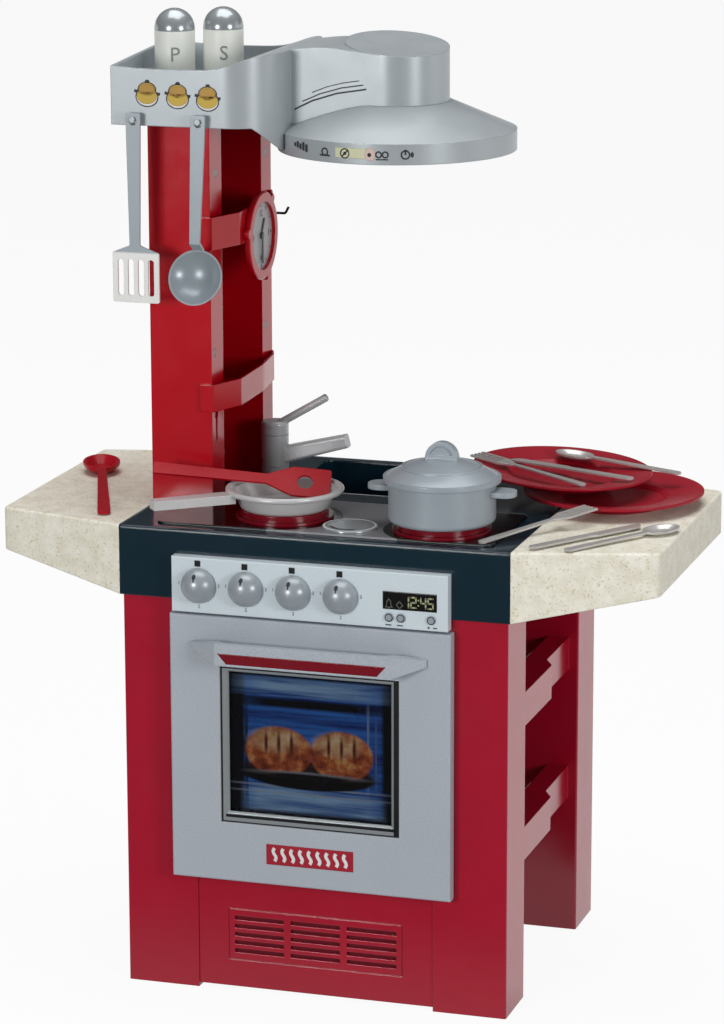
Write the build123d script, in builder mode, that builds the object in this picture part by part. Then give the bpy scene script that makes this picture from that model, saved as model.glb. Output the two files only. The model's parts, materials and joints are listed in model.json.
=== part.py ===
from build123d import *
from math import cos, radians, sin, sqrt
import os

os.makedirs("parts", exist_ok=True)

# Driving dimensions, in millimetres. Depths are counted backwards from the front of the legs.
body_width = 390.0
body_depth = 338.5
worktop_top = 468.3
worktop_underside = 464.3
apron_bottom = 398.5
apron_overhang = 2.5
handle_reach = 38.0
wall = 3.0
thin_wall = 2.0
contact_gap = 0.3
running_gap = 0.05

body_half = body_width / 2
worktop_half = body_half + apron_overhang
worktop_back = body_depth + apron_overhang
leg_front = (handle_reach - worktop_back) / 2


def y_at(depth):
    """The Y of a depth behind the front of the legs."""
    return leg_front + depth


def facing_front(depth):
    """A plane that looks out of the front of the kitchen, with X across and Z up."""
    return Plane.XZ.offset(-y_at(depth))


def facing_right(across):
    """A plane that looks out of the right side, with Y and Z as its axes."""
    return Plane.YZ.offset(across)


def add_block(across, depths, heights, mode=Mode.ADD):
    """A straight block between two X values, two depths and two heights."""
    middle_x = (across[0] + across[1]) / 2
    middle_y = y_at((depths[0] + depths[1]) / 2)
    middle_z = (heights[0] + heights[1]) / 2
    with Locations((middle_x, middle_y, middle_z)):
        Box(across[1] - across[0], depths[1] - depths[0], heights[1] - heights[0], mode=mode)


def save(piece, name):
    """Label a finished piece and write it to its own file."""
    piece.label = name
    export_step(piece, f"parts/{name}.step")


# Side frames: a front and a rear leg, tied by two rungs that step inwards half way back
leg_inner = 121.0
front_leg_depth = 65.0
rear_leg_inner = 135.0
rear_leg_front = 272.0
rung_bottoms = (142.0, 279.0)
rung_height = 34.0
rung_inner = 163.0
rung_step = 10.0
rung_step_start = 166.0
rung_step_end = 184.0
rung_step_radius = 8.0

with BuildPart() as right_side_frame:
    add_block((leg_inner, body_half), (0, front_leg_depth), (0, worktop_underside))
    add_block((rear_leg_inner, body_half), (rear_leg_front, body_depth), (0, worktop_underside))
    for rung_bottom in rung_bottoms:
        with BuildSketch(Plane.XY.offset(rung_bottom)):
            with BuildLine():
                Polyline(
                    (rung_inner, y_at(front_leg_depth - wall)),
                    (body_half, y_at(front_leg_depth - wall)),
                    (body_half, y_at(rung_step_start)),
                    (body_half - rung_step, y_at(rung_step_end)),
                    (body_half - rung_step, y_at(rear_leg_front + wall)),
                    (rung_inner, y_at(rear_leg_front + wall)),
                    close=True,
                )
            face = make_face()
            step_corners = face.vertices().sort_by(Axis.Y)[2:4]
            fillet(step_corners, rung_step_radius)
        extrude(amount=rung_height)
        add_block(
            (rung_inner + wall, body_half - rung_step - wall),
            (front_leg_depth + wall, rear_leg_front - wall),
            (rung_bottom, rung_bottom + rung_height - wall),
            Mode.SUBTRACT,
        )
    add_block(
        (leg_inner + wall, body_half - wall),
        (wall, front_leg_depth - wall),
        (0, worktop_underside - wall),
        Mode.SUBTRACT,
    )
    add_block(
        (rear_leg_inner + wall, body_half - wall),
        (rear_leg_front + wall, body_depth - wall),
        (0, worktop_underside - wall),
        Mode.SUBTRACT,
    )
    upright_edges = right_side_frame.edges().filter_by(Axis.Z)
    leg_edges = upright_edges.filter_by(lambda edge: edge.length > worktop_underside - running_gap)
    outer_edges = leg_edges.filter_by(lambda edge: edge.center().X > body_half - running_gap)
    fillet(outer_edges, thin_wall)
save(right_side_frame.part, "right_side_frame")

with BuildPart() as left_side_frame:
    mirror(right_side_frame.part, about=Plane.YZ)
save(left_side_frame.part, "left_side_frame")

# Kick panel: the low front board between the legs, with a vent of three columns of slots
kick_front = 1.5
kick_bottom = 4.0
kick_top = 116.0
kick_return = 32.0
vent_middle = 58.5
vent_slot_width = 51.0
vent_slot_height = 4.2
vent_column_pitch = 58.0
vent_row_pitch = 8.5
vent_columns = 3
vent_rows = 5
vent_frame_width = 180.0
vent_frame_height = 54.0
vent_groove = 1.2
vent_groove_depth = 0.8

with BuildPart() as kick_panel:
    add_block((-leg_inner, leg_inner), (kick_front, kick_return), (kick_bottom, kick_top))
    add_block(
        (-leg_inner + wall, leg_inner - wall),
        (kick_front + wall, kick_return),
        (kick_bottom, kick_top - wall),
        Mode.SUBTRACT,
    )
    with BuildSketch(facing_front(kick_front)):
        with Locations((0, vent_middle)):
            with GridLocations(vent_column_pitch, vent_row_pitch, vent_columns, vent_rows):
                Rectangle(vent_slot_width, vent_slot_height)
    extrude(amount=-wall, mode=Mode.SUBTRACT)
    with BuildSketch(facing_front(kick_front)):
        with Locations((0, vent_middle)):
            Rectangle(vent_frame_width, vent_frame_height)
            Rectangle(
                vent_frame_width - 2 * vent_groove,
                vent_frame_height - 2 * vent_groove,
                mode=Mode.SUBTRACT,
            )
    extrude(amount=-vent_groove_depth, mode=Mode.SUBTRACT)
save(kick_panel.part, "kick_panel")

# Oven cavity: a moulded box behind the door, with a front flange and two hinge ears
flange_front = 2.0
cavity_half = 104.0
cavity_bottom = 130.0
cavity_top = 372.0
cavity_back = 205.0
hinge_depth = -5.0
hinge_height = 122.2
hinge_corner = 3.5
ear_middle = 94.0
ear_width = 8.0
ear_radius = 3.0
pin_radius = 1.5
pin_length = 20.0

with BuildPart() as oven_cavity:
    add_block((-leg_inner, leg_inner), (flange_front, flange_front + wall), (kick_top, apron_bottom))
    add_block(
        (-cavity_half - wall, cavity_half + wall),
        (flange_front, cavity_back),
        (cavity_bottom - wall, cavity_top + wall),
    )
    add_block(
        (-cavity_half, cavity_half),
        (flange_front, cavity_back - wall),
        (cavity_bottom, cavity_top),
        Mode.SUBTRACT,
    )
    for side in (-1, 1):
        with BuildSketch(facing_right(side * ear_middle - ear_width / 2)):
            with Locations((y_at(hinge_depth), hinge_height)):
                Circle(ear_radius)
            with Locations((y_at((hinge_depth + flange_front) / 2), hinge_height)):
                Rectangle(flange_front - hinge_depth, 2 * ear_radius)
        extrude(amount=ear_width)
    with BuildSketch(facing_right(-ear_middle - ear_width)):
        with Locations((y_at(hinge_depth), hinge_height)):
            Circle(pin_radius + running_gap)
    extrude(amount=2 * (ear_middle + ear_width), mode=Mode.SUBTRACT)
save(oven_cavity.part, "oven_cavity")

# Oven door: a framed front skin with a window, backed by a liner, hinged along its lower edge
door_half = 142.3
door_front = -14.0
door_back = -1.5
door_bottom = 118.7
door_top = 386.5
door_skin = 3.0
door_sill = 128.0
window_half = 91.0
window_bottom = 179.0
window_top = 337.0
pane_half = 82.5
pane_bottom = 190.0
pane_top = 332.0
pane_lap = 4.5
trim_set_back = 0.8
trim_depth = 3.2
pane_thickness = 1.5
card_thickness = 0.6
liner_thickness = 2.5
notch_gap = 0.5
notch_front = -9.0
notch_top = 127.0

with BuildPart() as door_shell:
    add_block((-door_half, door_half), (door_front, door_back), (door_bottom, door_top))
    front_face = door_shell.faces().sort_by(Axis.Y)[0]
    fillet(front_face.edges(), thin_wall)
    hinge_edge = door_shell.edges().filter_by(Axis.X).group_by(Axis.Y)[-1].sort_by(Axis.Z)[0]
    fillet(hinge_edge, hinge_corner)
    add_block(
        (-door_half + wall, door_half - wall),
        (door_front + door_skin, door_back),
        (door_sill, door_top - wall),
        Mode.SUBTRACT,
    )
    add_block(
        (-window_half, window_half),
        (door_front, door_back),
        (window_bottom, window_top),
        Mode.SUBTRACT,
    )
    for side in (-1, 1):
        notch_half = ear_width / 2 + notch_gap
        notch = (side * ear_middle - notch_half, side * ear_middle + notch_half)
        add_block(notch, (notch_front, door_back), (door_bottom, notch_top), Mode.SUBTRACT)
        with BuildSketch(facing_right(side * ear_middle - pin_length / 2)):
            with Locations((y_at(hinge_depth), hinge_height)):
                Circle(pin_radius)
        extrude(amount=pin_length, mode=Mode.SUBTRACT)
save(door_shell.part, "door_shell")

with BuildPart() as door_hinge_pins:
    for side in (-1, 1):
        with BuildSketch(facing_right(side * ear_middle - pin_length / 2)):
            with Locations((y_at(hinge_depth), hinge_height)):
                Circle(pin_radius)
        extrude(amount=pin_length)
save(door_hinge_pins.part, "door_hinge_pins")

groove_width = 2 * cavity_half - 4 * wall
groove_height = cavity_top - cavity_bottom - 4 * wall

with BuildPart() as door_liner:
    add_block(
        (-door_half + wall, door_half - wall),
        (door_back - liner_thickness, door_back),
        (door_sill, door_top - wall),
    )
    back_face = door_liner.faces().sort_by(Axis.Y)[-1]
    with BuildSketch(Plane(back_face.center(), x_dir=(1, 0, 0), z_dir=(0, 1, 0))):
        RectangleRounded(groove_width, groove_height, 4 * wall)
        RectangleRounded(groove_width - 2 * wall, groove_height - 2 * wall, 3 * wall, mode=Mode.SUBTRACT)
    extrude(amount=-liner_thickness / 2, mode=Mode.SUBTRACT)
save(door_liner.part, "door_liner")

trim_front = door_front + trim_set_back
trim_back = trim_front + trim_depth
window_height = window_top - window_bottom
window_middle = (window_top + window_bottom) / 2
pane_height = pane_top - pane_bottom
pane_middle = (pane_top + pane_bottom) / 2

with BuildPart() as window_trim:
    with BuildSketch(facing_front(trim_front)):
        with Locations((0, window_middle)):
            Rectangle(2 * window_half, window_height)
    extrude(amount=-trim_depth)
    with BuildSketch(facing_front(trim_front)):
        with Locations((0, pane_middle)):
            Rectangle(2 * pane_half, pane_height)
    extrude(amount=-trim_depth, mode=Mode.SUBTRACT)
    inner_edges = window_trim.faces().sort_by(Axis.Y)[0].inner_wires()[0].edges()
    chamfer(inner_edges, trim_depth / 2)
save(window_trim.part, "window_trim")

with BuildPart() as door_window:
    with BuildSketch(facing_front(trim_back)):
        with Locations((0, pane_middle)):
            Rectangle(2 * (pane_half + pane_lap), pane_height + 2 * pane_lap)
    extrude(amount=-pane_thickness)
save(door_window.part, "door_window")

with BuildPart() as oven_picture:
    with BuildSketch(facing_front(trim_back + pane_thickness)):
        with Locations((0, pane_middle)):
            Rectangle(2 * (pane_half + pane_lap), pane_height + 2 * pane_lap)
    extrude(amount=-card_thickness)
save(oven_picture.part, "oven_picture")

# Door handle: a bowed bar whose ends run into the door, with a coloured strip let into its face
handle_end = 119.0
handle_shoulder = 88.0
handle_end_top = 360.5
handle_end_bottom = 353.0
handle_top = 366.0
handle_bottom = 344.0
handle_thickness = 7.0
handle_root = 9.0
inlay_depth = 1.0
inlay_top = 356.5
inlay_bottom = 346.3
inlay_half_top = 85.0
inlay_half_bottom = 76.0


def inlay_block():
    """The tapering strip, flush with the front of the handle."""
    with BuildPart() as strip:
        with BuildSketch(facing_front(-handle_reach)):
            with BuildLine():
                Polyline(
                    (-inlay_half_top, inlay_top),
                    (inlay_half_top, inlay_top),
                    (inlay_half_bottom, inlay_bottom),
                    (-inlay_half_bottom, inlay_bottom),
                    close=True,
                )
            make_face()
        extrude(amount=-inlay_depth)
    return strip.part


with BuildPart() as door_handle:
    with BuildSketch(Plane.XY.offset(handle_bottom)):
        with BuildLine():
            Polyline(
                (-handle_end, y_at(door_front)),
                (-handle_end, y_at(door_front - wall)),
                (-handle_shoulder, y_at(-handle_reach)),
                (handle_shoulder, y_at(-handle_reach)),
                (handle_end, y_at(door_front - wall)),
                (handle_end, y_at(door_front)),
                (handle_end - handle_root, y_at(door_front)),
                (handle_shoulder - handle_thickness, y_at(-handle_reach + handle_thickness)),
                (-handle_shoulder + handle_thickness, y_at(-handle_reach + handle_thickness)),
                (-handle_end + handle_root, y_at(door_front)),
                close=True,
            )
        make_face()
    extrude(amount=handle_top - handle_bottom)
    with BuildSketch(facing_front(door_front)):
        with BuildLine():
            Polyline(
                (-handle_end, handle_end_top),
                (-handle_shoulder, handle_top),
                (handle_shoulder, handle_top),
                (handle_end, handle_end_top),
                (handle_end, handle_end_bottom),
                (handle_shoulder, handle_bottom),
                (-handle_shoulder, handle_bottom),
                (-handle_end, handle_end_bottom),
                close=True,
            )
        make_face()
    extrude(amount=handle_reach + door_front, mode=Mode.INTERSECT)
    add(inlay_block(), mode=Mode.SUBTRACT)
save(door_handle.part, "door_handle")
save(inlay_block(), "handle_inlay")

# Control panel: a shallow tray in front of the worktop's apron, with four knobs and three buttons
panel_half = 139.5
panel_front = -14.0
panel_back = -apron_overhang
panel_bottom = 388.7
panel_top = 443.7
panel_skin = 2.5
knob_height = 416.4
knob_places = (-111.4, -63.4, -15.4, 32.6)
knob_radius = 17.3
knob_rim = 3.0
knob_dome = 13.0
knob_lift = 0.5
shaft_radius = 4.0
collar_radius = 6.0
collar_thickness = 1.5
display_left = 75.0
display_right = 128.5
display_bottom = 407.5
display_top = 425.0
display_recess = 1.5
display_thickness = 1.8
button_height = 399.5
button_places = (81.3, 93.1, 123.2)
button_radius = 4.3
button_proud = 2.0
button_flange = 5.2
button_flange_thickness = 1.2
button_edge = 0.8

with BuildPart() as control_panel:
    add_block((-panel_half, panel_half), (panel_front, panel_back), (panel_bottom, panel_top))
    fillet(control_panel.faces().sort_by(Axis.Y)[0].edges(), thin_wall / 2)
    add_block(
        (-panel_half + thin_wall, panel_half - thin_wall),
        (panel_front + panel_skin, panel_back),
        (panel_bottom + thin_wall, panel_top - thin_wall),
        Mode.SUBTRACT,
    )
    add_block(
        (display_left, display_right),
        (panel_front, panel_front + display_recess),
        (display_bottom, display_top),
        Mode.SUBTRACT,
    )
    with BuildSketch(facing_front(panel_front)):
        with Locations([(place, knob_height) for place in knob_places]):
            Circle(shaft_radius + running_gap)
        with Locations([(place, button_height) for place in button_places]):
            Circle(button_radius + running_gap)
    extrude(amount=-panel_skin, mode=Mode.SUBTRACT)
save(control_panel.part, "control_panel")

with BuildPart() as display_window:
    add_block(
        (display_left, display_right),
        (panel_front + display_recess - display_thickness, panel_front + display_recess),
        (display_bottom, display_top),
    )
save(display_window.part, "display_window")


def control_knob(place):
    """A domed knob on a shaft that passes through the panel and is held by a collar."""
    base = panel_front - knob_lift
    dome_radius = (knob_radius**2 + knob_dome**2) / (2 * knob_dome)
    bend = knob_dome - dome_radius + sqrt(dome_radius**2 - (knob_radius / 2) ** 2)
    collar_start = panel_front + panel_skin + knob_lift
    with BuildPart() as knob:
        with BuildSketch(Plane.XY.offset(knob_height)):
            with BuildLine():
                Polyline(
                    (place, y_at(base - knob_rim - knob_dome)),
                    (place, y_at(collar_start + collar_thickness)),
                    (place + collar_radius, y_at(collar_start + collar_thickness)),
                    (place + collar_radius, y_at(collar_start)),
                    (place + shaft_radius, y_at(collar_start)),
                    (place + shaft_radius, y_at(base)),
                    (place + knob_radius, y_at(base)),
                    (place + knob_radius, y_at(base - knob_rim)),
                )
                ThreePointArc(
                    (place + knob_radius, y_at(base - knob_rim)),
                    (place + knob_radius / 2, y_at(base - knob_rim - bend)),
                    (place, y_at(base - knob_rim - knob_dome)),
                )
            make_face()
        revolve(axis=Axis((place, 0, knob_height), (0, 1, 0)))
    return knob.part


for number, place in enumerate(knob_places, start=1):
    save(control_knob(place), f"knob_{number}")


def push_button(place):
    """A round button with a flange behind the panel that keeps it in."""
    flange_start = panel_front + panel_skin + contact_gap
    with BuildPart() as button:
        with BuildSketch(facing_front(panel_front - button_proud)):
            with Locations((place, button_height)):
                Circle(button_radius)
        extrude(amount=-(flange_start - panel_front + button_proud))
        with BuildSketch(facing_front(flange_start)):
            with Locations((place, button_height)):
                Circle(button_flange)
        extrude(amount=-button_flange_thickness)
        fillet(button.edges().sort_by(Axis.Y)[0], button_edge)
    return button.part


for number, place in enumerate(button_places, start=1):
    save(push_button(place), f"button_{number}")

# Worktop: a shallow inverted tray with a sink basin sunk into its rear half
basin_left = -92.0
basin_right = 100.0
basin_front = 188.0
basin_back = 331.0
basin_floor = 412.0
basin_wall = 2.5
basin_corner = 14.0
drain_radius = 8.0
top_edge_radius = 2.5
basin_middle = ((basin_left + basin_right) / 2, y_at((basin_front + basin_back) / 2))
basin_width = basin_right - basin_left
basin_length = basin_back - basin_front

with BuildPart() as worktop:
    add_block((-worktop_half, worktop_half), (-apron_overhang, worktop_back), (apron_bottom, worktop_top))
    fillet(worktop.edges().group_by(Axis.Z)[-1].sort_by(Axis.Y)[0], top_edge_radius)
    add_block((-body_half, body_half), (0, body_depth), (apron_bottom, worktop_underside), Mode.SUBTRACT)
    with BuildSketch(Plane.XY.offset(basin_floor - basin_wall)):
        with Locations(basin_middle):
            RectangleRounded(
                basin_width + 2 * basin_wall,
                basin_length + 2 * basin_wall,
                basin_corner + basin_wall,
            )
    extrude(amount=worktop_top - basin_floor + basin_wall)
    with BuildSketch(Plane.XY.offset(basin_floor)):
        with Locations(basin_middle):
            RectangleRounded(basin_width, basin_length, basin_corner)
    extrude(amount=worktop_top - basin_floor, mode=Mode.SUBTRACT)
    with BuildSketch(Plane.XY.offset(basin_floor - basin_wall)):
        with Locations(basin_middle):
            Circle(drain_radius)
    extrude(amount=basin_wall, mode=Mode.SUBTRACT)
save(worktop.part, "worktop")

# Where the tower stands on the worktop
tower_left = -195.0
tower_right = -131.6
tower_front = 87.0
tower_back = 272.0

# Hob: a glossy plate along the front edge with two raised burners and a round centre plate
hob_left = -165.0
hob_right = 176.0
hob_front = 12.0
hob_back = 146.0
hob_thickness = 2.0
hob_top = worktop_top + hob_thickness
pan_centre = (-51.0, y_at(70.0))
pot_centre = (112.0, y_at(60.0))
burner_flange_radius = 48.0
burner_flange_thickness = 3.0
burner_radius = 43.0
burner_thickness = 9.2
burner_top = hob_top + burner_thickness
burner_groove_radii = (36.0, 24.0)
burner_groove_width = 3.5
burner_groove_depth = 0.8
burner_edge = 1.0
medallion_centre = (24.0, y_at(43.0))
medallion_radius = 27.0
medallion_thickness = 2.2

with BuildPart() as hob_plate:
    add_block((hob_left, hob_right), (hob_front, hob_back), (worktop_top, hob_top))
    fillet(hob_plate.edges().filter_by(Axis.Z), 4 * thin_wall)
    chamfer(hob_plate.faces().sort_by(Axis.Z)[-1].edges(), thin_wall / 2)
    add_block((hob_left, tower_right), (tower_front, hob_back), (worktop_top, hob_top), Mode.SUBTRACT)
save(hob_plate.part, "hob_plate")

with BuildPart() as burner_rings:
    with BuildSketch(Plane.XY.offset(hob_top)):
        with Locations(pan_centre, pot_centre):
            Circle(burner_flange_radius)
    extrude(amount=burner_flange_thickness)
    with BuildSketch(Plane.XY.offset(hob_top)):
        with Locations(pan_centre, pot_centre):
            Circle(burner_radius)
    extrude(amount=burner_thickness)
    fillet(burner_rings.edges().group_by(Axis.Z)[-1], burner_edge)
    with BuildSketch(Plane.XY.offset(burner_top)):
        with Locations(pan_centre, pot_centre):
            for radius in burner_groove_radii:
                Circle(radius)
                Circle(radius - burner_groove_width, mode=Mode.SUBTRACT)
    extrude(amount=-burner_groove_depth, mode=Mode.SUBTRACT)
save(burner_rings.part, "burner_rings")

with BuildPart() as hob_medallion:
    with BuildSketch(Plane.XY.offset(hob_top)):
        with Locations(medallion_centre):
            Circle(medallion_radius)
    extrude(amount=medallion_thickness)
    fillet(hob_medallion.edges().group_by(Axis.Z)[-1], thin_wall / 2)
save(hob_medallion.part, "hob_medallion")

# Side wings: hollow work surfaces that taper away from the worktop and rise towards their ends
wing_outer = 333.6
wing_front = 34.0
wing_back = 309.0
wing_end_bottom = 425.8
wing_corner = 7.0
wing_edge = 2.5

with BuildPart() as right_wing:
    with BuildSketch(facing_front(-apron_overhang)):
        with BuildLine():
            Polyline(
                (worktop_half, worktop_top),
                (wing_outer, worktop_top),
                (wing_outer, wing_end_bottom),
                (worktop_half, apron_bottom),
                close=True,
            )
        make_face()
    extrude(amount=-(worktop_back + apron_overhang))
    with BuildSketch(Plane.XY.offset(apron_bottom)):
        with BuildLine():
            Polyline(
                (worktop_half, y_at(-apron_overhang)),
                (wing_outer, y_at(wing_front)),
                (wing_outer, y_at(wing_back)),
                (worktop_half, y_at(worktop_back)),
                close=True,
            )
        make_face()
    extrude(amount=worktop_top - apron_bottom, mode=Mode.INTERSECT)
    outer_corners = right_wing.edges().filter_by(Axis.Z).group_by(Axis.X)[-1]
    fillet(outer_corners, wing_corner)
    underside = right_wing.faces().sort_by(Axis.Z)[0]
    offset(amount=-wall, openings=underside)
    top_rim = right_wing.faces().sort_by(Axis.Z)[-1].outer_wire().edges()
    fillet(top_rim.filter_by(lambda edge: edge.center().X > worktop_half + wall), wing_edge)
save(right_wing.part, "right_wing")

with BuildPart() as left_wing:
    mirror(right_wing.part, about=Plane.YZ)
save(left_wing.part, "left_wing")

# Tower: a tall channel on the left, open to the right, with a post along its front and its back
front_post_back = 121.4
back_post_front = 241.4
tower_top = 850.0
tower_middle = (tower_front + tower_back) / 2
screw_radius = 2.6
screw_head_radius = 4.2
screw_recess = 1.4
screw_places = ((95.8, 623.6), (251.6, 623.3), (104.0, 800.0), (256.0, 800.0))
key_depth = 100.0
key_top = 560.0
key_bottom = 532.0
key_radius = 4.5
key_slot = 4.5

with BuildPart() as tower_shell:
    add_block((tower_left, tower_right), (tower_front, tower_back), (worktop_top, tower_top))
    add_block(
        (tower_left + wall, tower_right),
        (front_post_back, back_post_front),
        (worktop_top, tower_top),
        Mode.SUBTRACT,
    )
    for post in ((tower_front, front_post_back), (back_post_front, tower_back)):
        add_block(
            (tower_left + wall, tower_right - wall),
            (post[0] + wall, post[1] - wall),
            (worktop_top, tower_top - wall),
            Mode.SUBTRACT,
        )
    with BuildSketch(facing_right(tower_right)):
        with Locations([(y_at(depth), height) for depth, height in screw_places]):
            Circle(screw_head_radius)
    extrude(amount=-screw_recess, mode=Mode.SUBTRACT)
    with BuildSketch(facing_right(tower_right)):
        with Locations([(y_at(depth), height) for depth, height in screw_places]):
            Circle(screw_radius)
        with Locations((y_at(key_depth), key_top)):
            Circle(key_radius)
        with Locations((y_at(key_depth), (key_top + key_bottom) / 2)):
            SlotOverall(key_top - key_bottom, key_slot, rotation=90)
    extrude(amount=-wall, mode=Mode.SUBTRACT)
save(tower_shell.part, "tower_shell")

with BuildPart() as tower_screws:
    for depth, height in screw_places:
        with BuildSketch(facing_right(tower_right)):
            with Locations((y_at(depth), height)):
                Circle(screw_head_radius)
        extrude(amount=-screw_recess)
        with BuildSketch(facing_right(tower_right)):
            with Locations((y_at(depth), height)):
                Circle(screw_radius)
        extrude(amount=-5 * wall)
save(tower_screws.part, "tower_screws")

# Tower shelves: trays that wrap round the channel's open side and bow out to the right
shelf_side = -143.0
shelf_bow = ((-129.0, 0.0), (-114.0, 40.0), (-116.5, 116.0), (-124.0, 171.0))
shelf_back_corner = -131.0
shelf_floor = 3.0
shelf_lip_wall = 2.5
shelf_corner = 8.0
shelf_nose = 4.0
shelf_front_bend = 36.0
shelf_back_bend = 110.0
lower_shelf_bottom = 566.0
lower_shelf_height = 27.0
upper_shelf_bottom = 727.0
upper_shelf_height = 32.0
hook_depth = 262.0
hook_height = 737.0
hook_wire = 1.3
hook_start = -131.0
hook_bend = -113.0
hook_tip = -109.5
hook_rise = 6.5
shelf_front = tower_front - shelf_lip_wall - running_gap
shelf_back = tower_back + shelf_lip_wall + running_gap


def tower_shelf(bottom, height):
    """A shelf floor inside the channel, with a lip that bows out past the posts."""
    with BuildPart() as shelf:
        with BuildSketch(Plane.XY.offset(bottom)) as outline:
            with BuildLine():
                Polyline(
                    (shelf_side, y_at(shelf_front)),
                    *[(across, y_at(shelf_front + depth)) for across, depth in shelf_bow],
                    (shelf_back_corner, y_at(shelf_back)),
                    (shelf_side, y_at(shelf_back)),
                    close=True,
                )
            make_face()
            bow = outline.vertices().filter_by(lambda vertex: vertex.X > shelf_back_corner + running_gap)
            front_corner, front_bend, back_bend = bow.sort_by(Axis.Y)[0:3]
            fillet(back_bend, shelf_back_bend)
            fillet(front_bend, shelf_front_bend)
            fillet(front_corner, shelf_nose)
            fillet(outline.vertices().sort_by(Axis.Y)[-2:].sort_by(Axis.X)[-1], shelf_corner)
        extrude(amount=height)
        with BuildSketch(Plane.XY.offset(bottom + shelf_floor)):
            add(outline.sketch)
            offset(amount=-shelf_lip_wall)
            with Locations((shelf_side + shelf_lip_wall, y_at(tower_middle))):
                Rectangle(2 * shelf_lip_wall, shelf_back - shelf_front - 2 * shelf_lip_wall)
        extrude(amount=height, mode=Mode.SUBTRACT)
        for post in ((tower_front, front_post_back), (back_post_front, tower_back)):
            add_block((shelf_side, tower_right), post, (bottom, bottom + height), Mode.SUBTRACT)
        add_block(
            (tower_left + wall, tower_right),
            (front_post_back, back_post_front),
            (bottom, bottom + shelf_floor),
        )
        with BuildSketch(facing_right(hook_start)):
            with Locations((y_at(hook_depth), hook_height)):
                Circle(hook_wire)
        extrude(amount=hook_bend - hook_start, mode=Mode.SUBTRACT)
    return shelf.part


save(tower_shelf(lower_shelf_bottom, lower_shelf_height), "lower_shelf")
save(tower_shelf(upper_shelf_bottom, upper_shelf_height), "upper_shelf")

# Clock: a round case on the lip of the upper shelf, with a dial and two hands that turn
clock_height = 727.0
clock_depth = 182.0
clock_radius = 44.0
clock_opening = 34.0
clock_thickness = 5.5
clock_back = 0.8
clock_lug_radius = 5.5
clock_lug_angles = (49, 169, 289)
dial_thickness = 1.2
hand_gap = 0.4
hand_thickness = 0.8
hand_hub = 3.4
hand_pivot = 1.2
hour_hand_length = 19.0
hour_hand_angle = 60
minute_hand_length = 28.0
minute_hand_angle = 270
hand_width = 3.0
clock_plane = -113.9
dial_face = clock_plane + clock_back + dial_thickness

with BuildPart() as clock_case:
    with BuildSketch(facing_right(clock_plane)):
        with Locations((y_at(clock_depth), clock_height)):
            Circle(clock_radius)
            with PolarLocations(clock_radius, len(clock_lug_angles), start_angle=clock_lug_angles[0]):
                Circle(clock_lug_radius)
    extrude(amount=clock_thickness)
    fillet(clock_case.faces().sort_by(Axis.X)[-1].outer_wire().edges(), thin_wall)
    with BuildSketch(facing_right(clock_plane + clock_back)):
        with Locations((y_at(clock_depth), clock_height)):
            Circle(clock_opening)
    extrude(amount=clock_thickness, mode=Mode.SUBTRACT)
save(clock_case.part, "clock_case")

with BuildPart() as clock_dial:
    with BuildSketch(facing_right(clock_plane + clock_back)):
        with Locations((y_at(clock_depth), clock_height)):
            Circle(clock_opening)
            Circle(hand_pivot + running_gap, mode=Mode.SUBTRACT)
    extrude(amount=dial_thickness)
save(clock_dial.part, "clock_dial")


def clock_hand(layer, length, angle, bore, pivot_length):
    """A flat hand round a hub; the outer hand carries the pivot and the inner one a bore for it."""
    start = dial_face + hand_gap + layer * (hand_thickness + hand_gap)
    with BuildPart() as hand:
        with BuildSketch(facing_right(start)):
            with Locations((y_at(clock_depth), clock_height)):
                Circle(hand_hub)
                with Locations(Location((0, 0, 0), (0, 0, angle))):
                    with Locations((length / 2, 0)):
                        SlotOverall(length, hand_width)
                if bore:
                    Circle(hand_pivot + running_gap, mode=Mode.SUBTRACT)
        extrude(amount=hand_thickness)
        if pivot_length:
            with BuildSketch(facing_right(start)):
                with Locations((y_at(clock_depth), clock_height)):
                    Circle(hand_pivot)
            extrude(amount=-pivot_length)
    return hand.part


pivot_reach = hand_thickness + 2 * hand_gap + dial_thickness - hand_gap
save(clock_hand(0, hour_hand_length, hour_hand_angle, True, 0), "hour_hand")
save(clock_hand(1, minute_hand_length, minute_hand_angle, False, pivot_reach), "minute_hand")

# Hook: a bent wire for a cloth, let into the lip of the upper shelf
with BuildPart() as towel_hook:
    with BuildLine() as hook_path:
        FilletPolyline(
            (hook_start, y_at(hook_depth), hook_height),
            (hook_bend, y_at(hook_depth), hook_height),
            (hook_tip, y_at(hook_depth), hook_height + hook_rise),
            radius=2 * hook_wire,
        )
    with BuildSketch(Plane(hook_path.line @ 0, z_dir=hook_path.line % 0)):
        Circle(hook_wire)
    sweep()
save(towel_hook.part, "towel_hook")

# Canopy: a shallow round bell with an upright rim and a slotted filter plate underneath
canopy_x = 31.0
canopy_y = y_at(tower_middle)
canopy_radius = 117.0
canopy_bottom = 821.0
canopy_rim_top = 841.0
canopy_crown = 868.0
canopy_crown_radius = 54.0
filter_height = 826.0
filter_slot_length = 34.0
filter_slot_width = 7.0
filter_slot_radius = 74.0
filter_slots = 20

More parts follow.
